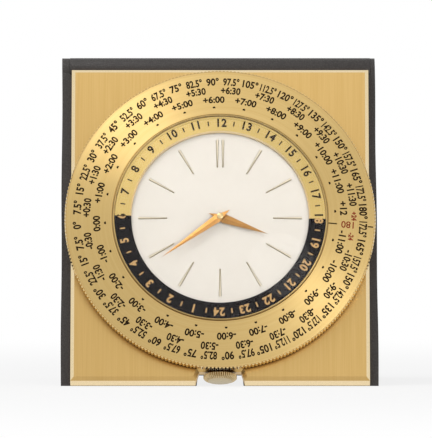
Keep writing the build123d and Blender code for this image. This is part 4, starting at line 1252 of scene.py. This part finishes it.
# A large key from the upper left, a low fill from the right, a small one over the plate and one in front
LAMPS = (
    Lamp("key", (-0.28, -0.175, 0.58), 0.34, 1.5),
    Lamp("fill", (0.46, -0.66, 0.1), 0.2, 0.95),
    Lamp("over_the_plate", (0.0, -0.21, 0.305), 0.2, 0.05),
    Lamp("low_front", (0.15, -0.7, 0.37), 0.16, 0.1),
)


@dataclass
class Studio:
    """The floor, the light and the camera, in metres."""

    distance: float = 2.3  # from the camera to the dial
    elevation: float = 1.0  # height of the camera's view over the level, in degrees
    pixels_per_mm: float = 3.55  # scale of the photograph at the dial
    long_side: float = 438.0  # long side of the picture, in pixels
    # Where the picture's middle falls from the dial's, in millimetres across and up the picture
    middle: Point = (-1.16, 0.85)
    sensor: float = 36.0  # width of the camera's sensor, in millimetres
    clip: Point = (0.05, 20.0)  # nearest and farthest distance that the camera sees
    floor_half: float = 6.0
    floor_tone: Point = (0.82, 1.0)  # brightness of the floor as seen, beside the clock and further off
    floor_reach: Point = (0.06, 0.4)  # distances from the middle between which it brightens
    room_seen: float = 1.0  # brightness of the room as a background
    room_mirrored: float = 0.86  # its brightness in the metal
    room_light: float = 0.35  # its brightness as light

    def build(self) -> None:
        """Set the stage."""
        self.floor()
        self.world()
        for lamp in LAMPS:
            lamp.build()
        self.camera()

    def camera(self) -> None:
        """Place the camera at the photograph's angle."""
        tilt = math.radians(self.elevation)
        back = Vector((0.0, -math.cos(tilt), math.sin(tilt)))
        upward = Vector((0.0, math.sin(tilt), math.cos(tilt)))
        target = DIAL.origin + Vector((self.middle[0] * MM, 0.0, 0.0)) + upward * self.middle[1] * MM
        data = bpy.data.cameras.new("camera")
        data.sensor_width = self.sensor
        data.lens = self.sensor * self.distance / (self.long_side / self.pixels_per_mm * MM)
        data.clip_start, data.clip_end = self.clip
        eye = linked("camera", data)
        eye.location = target + back * self.distance
        eye.rotation_euler = (-back).to_track_quat("-Z", "Y").to_euler()
        bpy.context.scene.camera = eye

    def floor(self) -> None:
        """A plain white floor that stays white to the camera and keeps the shadow."""
        mesh = bpy.data.meshes.new("floor")
        half = self.floor_half
        mesh.from_pydata([(-half, -half, 0), (half, -half, 0), (half, half, 0), (-half, half, 0)], [], [(0, 1, 2, 3)])
        nodes = Nodes("white_paper_sweep")
        nodes.fix(Base_Color=linear("#F6F6F6"), Roughness=0.9, Specular_IOR_Level=0.0)
        glow = nodes.add("Emission", {"Color": WHITE, "Strength": 1.0})
        (near, far), (dim, bright) = self.floor_reach, self.floor_tone
        settings = {"From Min": near, "From Max": far, "To Min": dim, "To Max": bright}
        away = nodes.vector("LENGTH", in_0=nodes.place()).outputs["Value"]
        tone = nodes.add("MapRange", settings | {"interpolation_type": "SMOOTHSTEP"}, Value=away)
        rays = nodes.add("LightPath").outputs
        mirrored = larger(nodes.tree, rays["Is Glossy Ray"], rays["Is Transmission Ray"])
        seen = larger(nodes.tree, rays["Is Camera Ray"], mirrored)
        share = nodes.add("Math", {"operation": "MULTIPLY"}, in_0=seen, in_1=tone)
        nodes.show(share, glow)
        mesh.materials.append(nodes.material)
        linked("floor", mesh)

    def world(self) -> None:
        """A white room, a little softer in mirrors and as light than as a background."""
        world = bpy.data.worlds.new("white_room")
        bpy.context.scene.world = world
        world.use_nodes = True
        tree = world.node_tree
        tree.nodes.clear()
        shown, mirrored, light = (
            add_node(tree, "ShaderNodeBackground", {"Color": WHITE, "Strength": strength})
            for strength in (self.room_seen, self.room_mirrored, self.room_light)
        )
        rays = add_node(tree, "ShaderNodeLightPath").outputs
        lit = mixed(tree, rays["Is Glossy Ray"], light, mirrored)
        both = mixed(tree, larger(tree, rays["Is Camera Ray"], rays["Is Transmission Ray"]), lit, shown)
        add_node(tree, "ShaderNodeOutputWorld", {}, Surface=both)


def main() -> None:
    """Build every piece in order, then the stage."""
    logging.basicConfig(level=logging.INFO, format="%(name)s %(message)s")
    bpy.context.scene.view_settings.view_transform = "Standard"
    dress_cad()
    for part in (Stand(), FrontPlate(), Case(), PlacesRing(), DayRing(), DialWork(), HandNut(), Crown(), Studio()):
        part.build()


if __name__ == "__main__":
    main()
